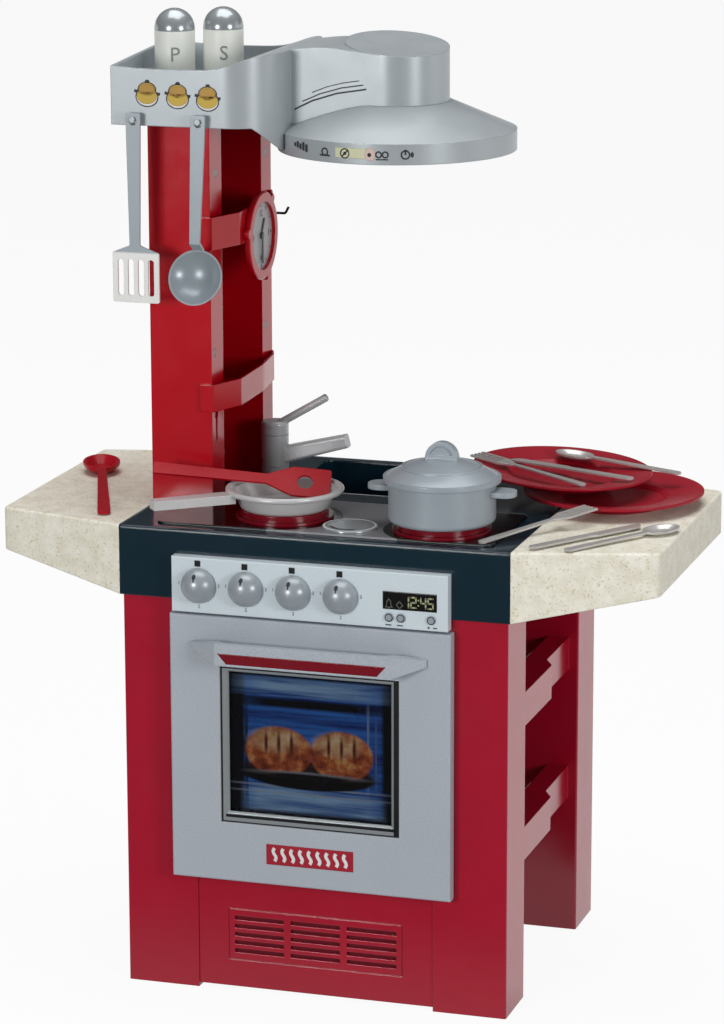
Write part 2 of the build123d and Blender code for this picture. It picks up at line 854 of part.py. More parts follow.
with BuildPart() as hood_canopy:
    with BuildSketch(Plane.XZ.offset(-canopy_y)):
        with BuildLine():
            Polyline(
                (canopy_x, canopy_crown),
                (canopy_x + canopy_crown_radius, canopy_crown),
                (canopy_x + canopy_radius, canopy_rim_top),
                (canopy_x + canopy_radius, canopy_bottom),
                (canopy_x + canopy_radius - wall, canopy_bottom),
                (canopy_x + canopy_radius - wall, canopy_rim_top - wall / 2),
                (canopy_x + canopy_crown_radius, canopy_crown - wall),
                (canopy_x, canopy_crown - wall),
                close=True,
            )
        make_face()
    revolve(axis=Axis((canopy_x, canopy_y, 0), (0, 0, 1)))
    with BuildSketch(Plane.XY.offset(filter_height)):
        with Locations((canopy_x, canopy_y)):
            Circle(canopy_radius - wall)
            with PolarLocations(filter_slot_radius, filter_slots):
                SlotOverall(filter_slot_length, filter_slot_width, mode=Mode.SUBTRACT)
    extrude(amount=thin_wall)
save(hood_canopy.part, "hood_canopy")

# Hood shell: a tray over the tower, whose top sweeps up into an arm and a slant-topped chimney
tray_left = -222.0
tray_front = 60.0
tray_back = 270.0
tray_right = -62.0
tray_bottom = tower_top
tray_rim = 908.0
tray_dip = 905.0
arm_top = 919.5
rim_profile = (
    (-222.0, 907.0),
    (-200.0, 905.5),
    (-150.0, tray_dip),
    (-130.0, 905.4),
    (-110.0, 907.9),
    (-97.0, 912.2),
    (-86.0, 916.0),
    (-75.0, 918.6),
    (tray_right, arm_top),
)
lobe_bottom = 825.0
lobe_start = -82.0
lobe_middle = (-70.5, 838.5)
chimney_radius = 51.0
chimney_cut = 1.3
chimney_top = 923.0
chimney_low = 916.0
chimney_tilt = (0.09, -0.11, 1.0)
neck_inset = 0.05
neck_front = tower_middle - chimney_radius + neck_inset
neck_back = tower_middle + chimney_radius - neck_inset
neck_left = -66.0
neck_profile = (
    (neck_left, arm_top),
    (-52.0, 921.3),
    (-32.0, 922.8),
    (-12.0, 922.0),
    (8.0, 919.6),
    (canopy_x, 916.6),
)
hood_wall = 4.0
recess_floor = 872.0
recess_right = -104.0
hollow_left = -122.0
tray_flare = 20.0
tray_back_corner = 24.0
tray_front_corner = 8.0
arm_corner = 48.0
neck_low = 916.0
hook_places = (-196.5, -130.0)
peg_height = 856.3
peg_radius = 2.2
peg_tip_radius = 3.0
peg_tip_rise = 0.4
peg_length = 12.0
peg_tip = 1.6


def tray_plan(height, inset, left, right):
    """The tray seen from above, drawn in by a wall thickness and cropped between two X values."""
    with BuildSketch(Plane.XY.offset(height)) as plan:
        with BuildLine():
            Polyline(
                (tray_left, y_at(tray_front)),
                (tray_right, y_at(tray_front)),
                (tray_right, y_at(tray_back)),
                (tray_left - tray_flare, y_at(tray_back)),
                close=True,
            )
        make_face()
        back_left, front_left = plan.vertices().sort_by(Axis.X)[0:2]
        fillet(back_left, tray_back_corner)
        fillet(front_left, tray_front_corner)
        fillet(plan.vertices().sort_by(Axis.X)[-2:], arm_corner)
        if inset:
            offset(amount=-inset)
        with Locations(((left + right) / 2, y_at(tower_middle))):
            Rectangle(right - left, body_depth, mode=Mode.INTERSECT)
    return plan.sketch


def arc_middle(radius, height):
    """The point half way along the arc from the rim of a dome to its top."""
    sphere = (radius**2 + height**2) / (2 * height)
    across = radius / 2
    return across, height - sphere + sqrt(sphere**2 - across**2)


with BuildPart() as hood_shell:
    add(tray_plan(lobe_bottom, 0, tray_left - 2 * tray_flare, tray_right))
    extrude(amount=arm_top - lobe_bottom)
    with BuildSketch(facing_front(tray_back)):
        with BuildLine():
            Line((tray_left - 2 * tray_flare, tray_bottom), (tray_left - 2 * tray_flare, tray_rim))
            Spline((tray_left - 2 * tray_flare, tray_rim), *rim_profile)
            Line((tray_right, arm_top), (tray_right, lobe_bottom))
            ThreePointArc((tray_right, lobe_bottom), lobe_middle, (lobe_start, tray_bottom))
            Line((lobe_start, tray_bottom), (tray_left - 2 * tray_flare, tray_bottom))
        make_face()
    extrude(amount=tray_back - tray_front, mode=Mode.INTERSECT)
    with BuildSketch(facing_front(neck_back)):
        with BuildLine():
            Polyline((canopy_x, neck_profile[-1][1]), (canopy_x, canopy_bottom), (neck_left, canopy_bottom))
            Line((neck_left, canopy_bottom), neck_profile[0])
            Spline(*neck_profile)
        make_face()
    extrude(amount=neck_back - neck_front)
    with BuildSketch(Plane.XY.offset(canopy_crown - wall)):
        with Locations((canopy_x, canopy_y)):
            Circle(chimney_radius)
    extrude(amount=chimney_top - canopy_crown + chimney_radius / 2)
    with BuildSketch(Plane((canopy_x, canopy_y, chimney_top), z_dir=chimney_tilt)):
        Circle(chimney_cut * chimney_radius)
    extrude(amount=chimney_radius, mode=Mode.SUBTRACT)
    # the hollow under the tray, the arm and the chimney
    add(tray_plan(tray_bottom + wall, hood_wall, tray_left - 2 * tray_flare, hollow_left))
    extrude(amount=recess_floor - tray_bottom - 2 * wall, mode=Mode.SUBTRACT)
    add(tray_plan(canopy_bottom, hood_wall, hollow_left, tray_right))
    extrude(amount=recess_floor - canopy_bottom - wall, mode=Mode.SUBTRACT)
    add(tray_plan(recess_floor - 2 * wall, hood_wall, recess_right + hood_wall, tray_right))
    extrude(amount=tray_dip - recess_floor, mode=Mode.SUBTRACT)
    add_block(
        (neck_left - 2 * hood_wall, canopy_x),
        (neck_front + hood_wall, neck_back - hood_wall),
        (canopy_bottom - wall, neck_low - hood_wall),
        Mode.SUBTRACT,
    )
    with BuildSketch(Plane.XY.offset(canopy_crown - 2 * wall)):
        with Locations((canopy_x, canopy_y)):
            Circle(chimney_radius - hood_wall)
    extrude(amount=chimney_low - hood_wall - canopy_crown + 2 * wall, mode=Mode.SUBTRACT)
    # the open recess that the shakers stand in
    add(tray_plan(recess_floor, hood_wall, tray_left - 2 * tray_flare, recess_right))
    extrude(amount=arm_top - recess_floor, mode=Mode.SUBTRACT)
    # the room for the canopy, which hangs from the neck and the chimney
    with BuildSketch(Plane.XZ.offset(-canopy_y)):
        with BuildLine():
            Polyline(
                (canopy_x, canopy_crown),
                (canopy_x + canopy_crown_radius, canopy_crown),
                (canopy_x + canopy_radius, canopy_rim_top),
                (canopy_x + canopy_radius, canopy_bottom - 4 * wall),
                (canopy_x, canopy_bottom - 4 * wall),
                close=True,
            )
        make_face()
    revolve(axis=Axis((canopy_x, canopy_y, 0), (0, 0, 1)), mode=Mode.SUBTRACT)
    for place in hook_places:
        with BuildSketch(facing_front(tray_front)):
            with Locations((place, peg_height)):
                Circle(peg_radius)
        extrude(amount=peg_length)
        with BuildSketch(facing_front(tray_front - peg_length + peg_tip)):
            with Locations((place, peg_height + peg_tip_rise)):
                Circle(peg_tip_radius)
        extrude(amount=peg_tip)
save(hood_shell.part, "hood_shell")

# Kitchen tools that hang from the tray's two pegs
tool_front = 51.0
tool_thickness = 2.5
tool_hole = 3.8
tool_hole_drop = 1.3
tool_top_width = 15.0
tool_neck_width = 10.5
tool_top_margin = 8.0
turner_neck = 734.0
turner_shoulder = 727.0
turner_bottom = 678.0
turner_left = -219.5
turner_right = -171.8
turner_slots = 4
turner_slot_width = 6.0
turner_slot_height = 36.0
turner_slot_pitch = (turner_right - turner_left - turner_slot_width) / turner_slots
ladle_bend = 738.0
ladle_bend_rise = 2.0
ladle_neck_grip = 3.0
ladle_x = -135.0
ladle_height = 705.5
ladle_radius = 27.5
ladle_depth = 16.0
ladle_wall = 1.8
ladle_tilt = radians(20)
hole_height = peg_height - tool_hole_drop

with BuildPart() as slotted_turner:
    with BuildSketch(facing_front(tool_front)) as blade:
        with BuildLine():
            Polyline(
                (hook_places[0] - tool_top_width / 2, hole_height + tool_top_margin),
                (hook_places[0] + tool_top_width / 2, hole_height + tool_top_margin),
                (hook_places[0] + tool_neck_width / 2, turner_neck),
                (turner_right, turner_shoulder),
                (turner_right, turner_bottom),
                (turner_left, turner_bottom),
                (turner_left, turner_shoulder),
                (hook_places[0] - tool_neck_width / 2, turner_neck),
                close=True,
            )
        make_face()
        fillet(blade.vertices(), thin_wall)
        with Locations((hook_places[0], hole_height)):
            Circle(tool_hole, mode=Mode.SUBTRACT)
        with Locations(((turner_left + turner_right) / 2, (turner_shoulder + turner_bottom) / 2)):
            with GridLocations(turner_slot_pitch, 1, turner_slots, 1):
                SlotOverall(turner_slot_height, turner_slot_width, rotation=90, mode=Mode.SUBTRACT)
    extrude(amount=-tool_thickness)
save(slotted_turner.part, "slotted_turner")

ladle_out = (0, -cos(ladle_tilt), sin(ladle_tilt))
ladle_middle = (ladle_x, y_at(tool_front + tool_thickness / 2), ladle_height)


def at_ladle_rim(reach, behind):
    """A point over the middle of the ladle's rim, as depth and height: reach from the middle, and behind the rim."""
    return (
        ladle_middle[1] + reach * sin(ladle_tilt) + behind * cos(ladle_tilt),
        ladle_height + reach * cos(ladle_tilt) - behind * sin(ladle_tilt),
    )


with BuildPart() as ladle:
    with BuildSketch(facing_front(tool_front)) as handle:
        with BuildLine():
            Polyline(
                (hook_places[1] - tool_top_width / 2, hole_height + tool_top_margin),
                (hook_places[1] + tool_top_width / 2, hole_height + tool_top_margin),
                (ladle_x + tool_neck_width / 2, ladle_bend),
                (ladle_x - tool_neck_width / 2, ladle_bend),
                close=True,
            )
        make_face()
        fillet(handle.vertices().group_by(Axis.Y)[-1], thin_wall)
        with Locations((hook_places[1], hole_height)):
            Circle(tool_hole, mode=Mode.SUBTRACT)
    extrude(amount=-tool_thickness)
    bowl_plane = Plane(ladle_middle, x_dir=(1, 0, 0), z_dir=(0, -sin(ladle_tilt), -cos(ladle_tilt)))
    across, height = arc_middle(ladle_radius, ladle_depth)
    with BuildSketch(bowl_plane):
        with BuildLine():
            Line((0, 0), (ladle_radius, 0))
            ThreePointArc((ladle_radius, 0), (across, -height), (0, -ladle_depth))
            Line((0, -ladle_depth), (0, 0))
        make_face()
    revolve(axis=Axis(ladle_middle, ladle_out))
    inner_radius = ladle_radius - ladle_wall
    inner_depth = ladle_depth - ladle_wall
    across, height = arc_middle(inner_radius, inner_depth)
    with BuildSketch(bowl_plane):
        with BuildLine():
            Polyline((0, -inner_depth), (0, ladle_wall), (inner_radius, ladle_wall), (inner_radius, 0))
            ThreePointArc((inner_radius, 0), (across, -height), (0, -inner_depth))
        make_face()
    revolve(axis=Axis(ladle_middle, ladle_out), mode=Mode.SUBTRACT)
    with BuildSketch(facing_right(ladle_x - tool_neck_width / 2)):
        with BuildLine():
            Polyline(
                (y_at(tool_front), ladle_bend),
                at_ladle_rim(ladle_radius - ladle_wall / 2, 0),
                at_ladle_rim(ladle_radius - ladle_wall, ladle_neck_grip),
                at_ladle_rim(ladle_radius + 1, ladle_neck_grip),
                (y_at(tool_front + tool_thickness), ladle_bend + ladle_bend_rise),
                close=True,
            )
        make_face()
    extrude(amount=tool_neck_width)
save(ladle.part, "ladle")

# Tap: a fixed base with a spindle, on which a spout and a lever turn
tap_centre = (-113.0, y_at(224.0))
tap_radius = 14.0
tap_flange_radius = 16.0
tap_flange_thickness = 3.0
tap_base_top = 484.0
spindle_radius = 6.0
spindle_top = 528.0
spout_bottom = tap_base_top + contact_gap
spout_top = 516.5
spout_width = 14.0
spout_root = -108.0
spout_root_heights = (spout_bottom + 1.0, 503.5)
spout_tip_low = (-34.0, 507.5)
spout_tip_high = (-37.5, 520.5)
spout_hole = -43.0
lever_bottom = spout_top + contact_gap
lever_top = 530.5
lever_radius = 4.0
lever_end = (-57.0, y_at(224.0), 558.0)

with BuildPart() as tap_body:
    with BuildSketch(Plane.XY.offset(worktop_top)):
        with Locations(tap_centre):
            Circle(tap_flange_radius)
    extrude(amount=tap_flange_thickness)
    with BuildSketch(Plane.XY.offset(worktop_top)):
        with Locations(tap_centre):
            Circle(tap_radius)
    extrude(amount=tap_base_top - worktop_top)
    with BuildSketch(Plane.XY.offset(tap_base_top)):
        with Locations(tap_centre):
            Circle(spindle_radius)
    extrude(amount=spindle_top - tap_base_top)
save(tap_body.part, "tap_body")

with BuildPart() as tap_spout:
    with BuildSketch(Plane.XY.offset(spout_bottom)):
        with Locations(tap_centre):
            Circle(tap_radius)
    extrude(amount=spout_top - spout_bottom)
    with BuildSketch(Plane.XZ.offset(-tap_centre[1] + spout_width / 2)):
        with BuildLine():
            Polyline(
                (spout_root, spout_root_heights[0]),
                spout_tip_low,
                spout_tip_high,
                (spout_root, spout_root_heights[1]),
                close=True,
            )
        make_face()
    extrude(amount=-spout_width)
    arm_edges = tap_spout.edges().filter_by(lambda edge: edge.center().X > spout_root + spout_width)
    fillet(arm_edges.filter_by(lambda edge: edge.length > spout_width + 1), wall)
    with BuildSketch(Plane.XY.offset(spout_bottom)):
        with Locations(tap_centre):
            Circle(spindle_radius + running_gap)
    extrude(amount=spout_top - spout_bottom, mode=Mode.SUBTRACT)
    with BuildSketch(Plane.XY.offset(spout_bottom)):
        with Locations((spout_hole, tap_centre[1])):
            Circle(wall)
    extrude(amount=spout_top - spout_bottom - 2 * wall, mode=Mode.SUBTRACT)
save(tap_spout.part, "tap_spout")

with BuildPart() as tap_lever:
    with BuildSketch(Plane.XY.offset(lever_bottom)):
        with Locations(tap_centre):
            Circle(tap_radius)
    extrude(amount=lever_top - lever_bottom)
    fillet(tap_lever.edges().group_by(Axis.Z)[-1], wall)
    rod_start = (tap_centre[0] + wall, tap_centre[1], lever_top - lever_radius)
    rod_run = Vector(*lever_end) - Vector(*rod_start)
    with BuildSketch(Plane(rod_start, z_dir=rod_run)):
        Circle(lever_radius)
    extrude(amount=rod_run.length)
    fillet(tap_lever.edges().filter_by(GeomType.CIRCLE).sort_by(Axis.X)[-1], lever_radius / 2)
    with BuildSketch(Plane.XY.offset(lever_bottom)):
        with Locations(tap_centre):
            Circle(spindle_radius + running_gap)
    extrude(amount=spindle_top - lever_bottom + contact_gap, mode=Mode.SUBTRACT)
save(tap_lever.part, "tap_lever")

# Shakers: a hollow body with a domed cap that plugs into it
shaker_radius = 20.0
shaker_wall = 1.6
shaker_bottom = recess_floor + contact_gap
shaker_band = 931.0
shaker_top = 952.5
plug_depth = 5.0
shaker_hole = 1.0
shaker_hole_circle = 6.0
shaker_holes = 6
shaker_places = {"pepper": (-194.0, y_at(165.0)), "salt": (-152.0, y_at(190.0))}


def shaker_body(centre):
    """A cup with a rounded base."""
    with BuildPart() as shaker:
        with BuildSketch(Plane.XY.offset(shaker_bottom)):
            with Locations(centre):
                Circle(shaker_radius)
        extrude(amount=shaker_band - shaker_bottom)
        fillet(shaker.edges().group_by(Axis.Z)[0], thin_wall)
        with BuildSketch(Plane.XY.offset(shaker_bottom + shaker_wall)):
            with Locations(centre):
                Circle(shaker_radius - shaker_wall)
        extrude(amount=shaker_band - shaker_bottom, mode=Mode.SUBTRACT)
    return shaker.part


def shaker_cap(centre):
    """A dome with a plug below it and pouring holes through its top."""
    rise = shaker_top - shaker_band
    across, height = arc_middle(shaker_radius, rise)
    inner_radius = shaker_radius - 2 * shaker_wall
    inner_across, inner_height = arc_middle(inner_radius, rise - shaker_wall)
    plug_radius = shaker_radius - shaker_wall
    with BuildPart() as cap:
        with BuildSketch(Plane(Vector(*centre, shaker_band), x_dir=(1, 0, 0), z_dir=(0, -1, 0))):
            with BuildLine():
                ThreePointArc((shaker_radius, 0), (across, height), (0, rise))
                Line((0, rise), (0, rise - shaker_wall))
                ThreePointArc((0, rise - shaker_wall), (inner_across, inner_height), (inner_radius, 0))
                Polyline(
                    (inner_radius, 0),
                    (inner_radius, -plug_depth),
                    (plug_radius, -plug_depth),
                    (plug_radius, 0),
                    (shaker_radius, 0),
                )
            make_face()
        revolve(axis=Axis(Vector(*centre, 0), (0, 0, 1)))
        with BuildSketch(Plane.XY.offset(shaker_band)):
            with Locations(centre):
                with PolarLocations(shaker_hole_circle, shaker_holes):
                    Circle(shaker_hole)
        extrude(amount=2 * rise, mode=Mode.SUBTRACT)
    return cap.part


for name, centre in shaker_places.items():
    save(shaker_body(centre), f"{name}_shaker")
    save(shaker_cap(centre), f"{name}_cap")

# Pot, with two flat ears and a lid with a round grip
pot_bottom = burner_top + contact_gap
pot_top = 519.0
pot_radius = 52.0
pot_wall = 2.0
ear_bottom = 508.0
ear_thickness = 5.0
ear_half = 13.0
ear_reach = 22.0
lid_bottom = pot_top + contact_gap
lid_rim_top = 524.0
lid_radius = 57.0
lid_dome = 17.0
lid_seat = 49.0
lid_ridge_radius = 38.6
lid_ridge = 1.3
grip_radius = 16.0
grip_thickness = 9.0
grip_height = 541.5
grip_dish_radius = 11.5
grip_dish = 1.5

with BuildPart() as pot:
    with BuildSketch(Plane.XY.offset(pot_bottom)):
        with Locations(pot_centre):
            Circle(pot_radius)
    extrude(amount=pot_top - pot_bottom)
    fillet(pot.edges().group_by(Axis.Z)[0], 2 * pot_wall)
    with BuildSketch(Plane.XY.offset(ear_bottom)):
        for side in (-1, 1):
            with Locations((pot_centre[0] + side * (pot_radius + ear_reach / 2 - wall), pot_centre[1])):
                RectangleRounded(ear_reach + 2 * wall, 2 * ear_half, ear_half - 1)
    extrude(amount=ear_thickness)
    with BuildSketch(Plane.XY.offset(pot_bottom + pot_wall)):
        with Locations(pot_centre):
            Circle(pot_radius - pot_wall)
    extrude(amount=pot_top - pot_bottom, mode=Mode.SUBTRACT)
save(pot.part, "pot")

with BuildPart() as pot_lid:
    across, height = arc_middle(lid_radius - wall, lid_dome)
    seat_across, seat_height = arc_middle(lid_seat, lid_dome)
    with BuildSketch(Plane(Vector(*pot_centre, lid_rim_top), x_dir=(1, 0, 0), z_dir=(0, -1, 0))):
        with BuildLine():
            Line((0, lid_dome), (0, lid_dome - pot_wall))
            ThreePointArc(
                (0, lid_dome - pot_wall),
                (seat_across, seat_height - pot_wall),
                (lid_seat, -pot_wall),
            )
            Polyline(
                (lid_seat, -pot_wall),
                (lid_seat, lid_bottom - lid_rim_top),
                (lid_radius, lid_bottom - lid_rim_top),
                (lid_radius, 0),
                (lid_radius - wall, 0),
            )
            ThreePointArc((lid_radius - wall, 0), (across, height), (0, lid_dome))
        make_face()
        dome_radius = ((lid_radius - wall) ** 2 + lid_dome**2) / (2 * lid_dome)
        ridge_height = lid_dome - dome_radius + sqrt(dome_radius**2 - lid_ridge_radius**2)
        with Locations((lid_ridge_radius, ridge_height)):
            Circle(lid_ridge)
    revolve(axis=Axis(Vector(*pot_centre, 0), (0, 0, 1)))
    grip_middle = Plane(Vector(*pot_centre, grip_height), x_dir=(1, 0, 0), z_dir=(0, -1, 0))
    with BuildSketch(grip_middle.offset(grip_thickness / 2)):
        Circle(grip_radius)
        with Locations((0, -grip_radius)):
            Rectangle(2 * grip_radius, 2 * grip_radius - 2 * wall, mode=Mode.SUBTRACT)
    extrude(amount=-grip_thickness)
    for side in (-1, 1):
        with BuildSketch(grip_middle.offset(side * grip_thickness / 2)):
            Circle(grip_dish_radius)
            with Locations((0, -grip_radius)):
                Rectangle(2 * grip_radius, 2 * grip_radius - 2 * wall, mode=Mode.SUBTRACT)
        extrude(amount=-side * grip_dish, mode=Mode.SUBTRACT)
    with BuildSketch(Plane.XY.offset(lid_rim_top + lid_dome - pot_wall)):
        with Locations(pot_centre):
            Rectangle(2 * grip_radius - pot_wall, grip_thickness)
    extrude(amount=2 * wall)
save(pot_lid.part, "pot_lid")

# Pan: a flared dish with a rolled lip and a bar handle
pan_bottom = burner_top + contact_gap
pan_rim = 500.5
pan_base_radius = 44.0
pan_wall_radius = 50.0
pan_radius = 55.5
pan_wall = 2.0
pan_lip = 2.8
pan_floor_radius = pan_base_radius - pan_wall
lip_height = pan_rim - pan_bottom - pan_lip
pan_handle_angle = 219.0
pan_handle_start = 54.0
pan_handle_end = 137.0
pan_handle_bottom = 489.0
pan_handle_top = 498.0
pan_handle_root_width = 17.0
pan_handle_end_width = 14.0

with BuildPart() as pan:
    with BuildSketch(Plane(Vector(*pan_centre, pan_bottom), x_dir=(1, 0, 0), z_dir=(0, -1, 0))):
        with BuildLine():
            Polyline(
                (0, 0),
                (pan_base_radius - pan_wall, 0),
                (pan_base_radius, pan_wall),
                (pan_wall_radius, lip_height - pan_wall),
                (pan_radius, lip_height),
                (pan_wall_radius - pan_wall, lip_height),
                (pan_floor_radius, pan_wall),
                (0, pan_wall),
                close=True,
            )
        make_face()
        with Locations((pan_radius, lip_height)):
            Circle(pan_lip)
    revolve(axis=Axis(Vector(*pan_centre, 0), (0, 0, 1)))
    with BuildSketch(Plane(Vector(*pan_centre, pan_handle_bottom)).rotated((0, 0, pan_handle_angle))):
        with BuildLine():
            Polyline(
                (pan_handle_start, -pan_handle_root_width / 2),
                (pan_handle_end, -pan_handle_end_width / 2),
                (pan_handle_end, pan_handle_end_width / 2),
                (pan_handle_start, pan_handle_root_width / 2),
                close=True,
            )
        make_face()
    extrude(amount=pan_handle_top - pan_handle_bottom)
save(pan.part, "pan")


def lying_plane(start, end):
    """A plane whose X runs from one point to another and whose Z looks up."""
    along = (Vector(*end) - Vector(*start)).normalized()
    sideways = Vector(-along.Y, along.X, 0).normalized()
    return Plane(start, x_dir=along, z_dir=along.cross(sideways))


# Pan turner: a flat paddle with a round hole, lying across the pan
paddle_middle = Vector(-36.5, y_at(89.4), 501.0)
paddle_handle = Vector(-0.958, -0.269, 0.098)
paddle_across = Vector(-0.137, 0.7275, 0.657)
paddle_length = 50.0
paddle_width = 34.0
paddle_thickness = 2.5
paddle_hole = 8.0
paddle_reach = 150.0
paddle_neck = 38.0
paddle_neck_width = 11.0
paddle_end_width = 13.2

paddle_plane = Plane(paddle_middle, x_dir=paddle_handle, z_dir=paddle_handle.cross(paddle_across))

with BuildPart() as pan_turner:
    with BuildSketch(paddle_plane) as paddle:
        with BuildLine():
            Polyline(
                (-paddle_length / 2, -paddle_width / 2),
                (paddle_length / 4, -paddle_width / 2),
                (paddle_neck, -paddle_neck_width / 2),
                (paddle_reach, -paddle_end_width / 2),
                (paddle_reach, paddle_end_width / 2),
                (paddle_neck, paddle_neck_width / 2),
                (paddle_length / 4, paddle_width / 2),
                (-paddle_length / 2, paddle_width / 2),
                close=True,
            )
        make_face()
        fillet(paddle.vertices(), wall)
        Circle(paddle_hole, mode=Mode.SUBTRACT)
    extrude(amount=paddle_thickness)
save(pan_turner.part, "pan_turner")


def place_on(plane, piece):
    """Move a piece that was built at the origin onto a plane."""
    return piece.moved(plane.location)


neck_taper = 0.6
end_rounding = 0.45
bowl_floor_share = 0.6


def spoon(length, handle_width, bowl_length, bowl_width, bowl_depth, thickness):
    """A spoon along X: a tapering handle that ends in an oval bowl."""
    bowl_middle = length - bowl_length / 2
    neck_width = handle_width * neck_taper
    floor_length = bowl_length * bowl_floor_share
    floor_width = bowl_width * bowl_floor_share
    with BuildPart() as piece:
        with BuildSketch(Plane.XY.offset(bowl_depth - thickness)) as handle:
            with BuildLine():
                Polyline(
                    (0, -handle_width / 2),
                    (bowl_middle, -neck_width / 2),
                    (bowl_middle, neck_width / 2),
                    (0, handle_width / 2),
                    close=True,
                )
            make_face()
            fillet(handle.vertices().group_by(Axis.X)[0], handle_width * end_rounding)
            with Locations((bowl_middle, 0)):
                Ellipse(bowl_length / 2, bowl_width / 2)
        extrude(amount=thickness)
        with BuildSketch(Plane.XY) as bowl_floor:
            with Locations((bowl_middle, 0)):
                Ellipse(floor_length / 2, floor_width / 2)
        with BuildSketch(Plane.XY.offset(bowl_depth - thickness)) as bowl_rim:
            with Locations((bowl_middle, 0)):
                Ellipse(bowl_length / 2, bowl_width / 2)
        loft()
        with BuildSketch(Plane.XY.offset(thickness)) as dish_floor:
            with Locations((bowl_middle, 0)):
                Ellipse((floor_length - thickness) / 2, (floor_width - thickness) / 2)
        with BuildSketch(Plane.XY.offset(bowl_depth)) as dish_rim:
            with Locations((bowl_middle, 0)):
                Ellipse(bowl_length / 2 - thickness, bowl_width / 2 - thickness)
        loft(mode=Mode.SUBTRACT)
    return piece.part


cutlery_length = 142.0
cutlery_thickness = 2.0
cutlery_handle_width = 9.0
cutlery_neck_width = cutlery_handle_width * neck_taper
cutlery_end_radius = cutlery_handle_width * end_rounding
fork_head_length = 50.0
fork_head_width = 20.0
fork_tine_length = 32.0
fork_gap = 2.8
fork_tines = 4
knife_blade_length = 68.0
knife_blade_width = 13.0
knife_tip_radius = 10.4
spoon_bowl_length = 42.0
spoon_bowl_width = 27.0
spoon_bowl_depth = 5.0


def fork():
    """A fork along X: a tapering handle and a head with four tines."""
    neck = cutlery_length - fork_head_length
    shoulder = neck + fork_head_length - fork_tine_length - wall
    with BuildPart() as piece:
        with BuildSketch() as outline:
            with BuildLine():
                Polyline(
                    (0, -cutlery_handle_width / 2),
                    (neck, -cutlery_neck_width / 2),
                    (shoulder, -fork_head_width / 2),
                    (cutlery_length, -fork_head_width / 2),
                    (cutlery_length, fork_head_width / 2),
                    (shoulder, fork_head_width / 2),
                    (neck, cutlery_neck_width / 2),
                    (0, cutlery_handle_width / 2),
                    close=True,
                )
            make_face()
            fillet(outline.vertices().group_by(Axis.X)[0], cutlery_end_radius)
            with Locations((cutlery_length, 0)):
                with GridLocations(1, fork_head_width / fork_tines, 1, fork_tines - 1):
                    SlotOverall(2 * fork_tine_length, fork_gap, mode=Mode.SUBTRACT)
        extrude(amount=cutlery_thickness)
    return piece.part


def knife():
    """A table knife along X: a plain handle and a round-ended blade."""
    handle_end = cutlery_length - knife_blade_length
    with BuildPart() as piece:
        with BuildSketch() as outline:
            with BuildLine():
                Polyline(
                    (0, -cutlery_handle_width / 2),
                    (handle_end, -cutlery_handle_width / 2),
                    (handle_end + 2 * wall, -knife_blade_width / 2),
                    (cutlery_length, -knife_blade_width / 2),
                    (cutlery_length, cutlery_handle_width / 2),
                    (0, cutlery_handle_width / 2),
                    close=True,
                )
            make_face()
            fillet(outline.vertices().group_by(Axis.X)[0], cutlery_end_radius)
            fillet(outline.vertices().group_by(Axis.X)[-1].sort_by(Axis.Y)[0], knife_tip_radius)
        extrude(amount=cutlery_thickness)
    return piece.part


def table_spoon():
    """A spoon of the same set."""
    return spoon(
        cutlery_length,
        cutlery_handle_width,
        spoon_bowl_length,
        spoon_bowl_width,
        spoon_bowl_depth,
        cutlery_thickness,
    )


# Plates: two round dishes, the upper one resting askew on the rim of the lower one
plate_radius = 90.0
plate_height = 14.0
plate_foot_radius = 52.0
plate_wall = 2.2
plate_foot = 2.5
plate_bend = 6.3
lower_plate_place = Plane((241.0, y_at(225.0), worktop_top + contact_gap))
upper_plate_place = Plane((183.5, y_at(242.0), 483.2)).rotated((0, 2.9, 0))


def plate():
    """A dish with a flat middle and a wide sloping rim."""
    with BuildPart() as piece:
        with BuildSketch(Plane.XZ) as half:
            with BuildLine():
                Polyline(
                    (0, plate_foot),
                    (plate_foot_radius - wall, plate_foot),
                    (plate_foot_radius - wall, 0),
                    (plate_foot_radius, 0),
                    (plate_foot_radius + 2 * wall, plate_bend),
                    (plate_radius, plate_height - plate_wall),
                    (plate_radius, plate_height),
                    (plate_radius - wall, plate_height),
                    (plate_foot_radius + 2 * wall - thin_wall, plate_bend + plate_wall),
                    (plate_foot_radius - thin_wall, plate_foot + plate_wall),
                    (0, plate_foot + plate_wall),
                    close=True,
                )
            make_face()
        revolve(axis=Axis.Z)
    return piece.part


save(place_on(lower_plate_place, plate()), "lower_plate")
save(place_on(upper_plate_place, plate()), "upper_plate")

# Cutlery on the upper plate and on the right wing
plate_settings = {
    "plate_fork": ((222.0, y_at(184.0), 493.0), (105.0, y_at(240.0), 502.3), fork()),
    "plate_knife": ((262.0, y_at(220.0), 494.2), (140.0, y_at(258.0), 495.6), knife()),
    "plate_spoon": ((300.0, y_at(264.0), 489.4), (165.0, y_at(300.0), 496.0), table_spoon()),
    "wing_fork": ((162.0, y_at(16.0), 470.4), (246.0, y_at(140.0), 484.5), fork()),
    "wing_knife": ((213.0, y_at(11.0), 470.4), (290.0, y_at(126.0), 470.4), knife()),
    "wing_spoon": ((247.0, y_at(13.0), 466.6), (331.0, y_at(134.0), 469.4), table_spoon()),
}
for name, (start, end, piece) in plate_settings.items():
    save(place_on(lying_plane(start, end), piece), name)

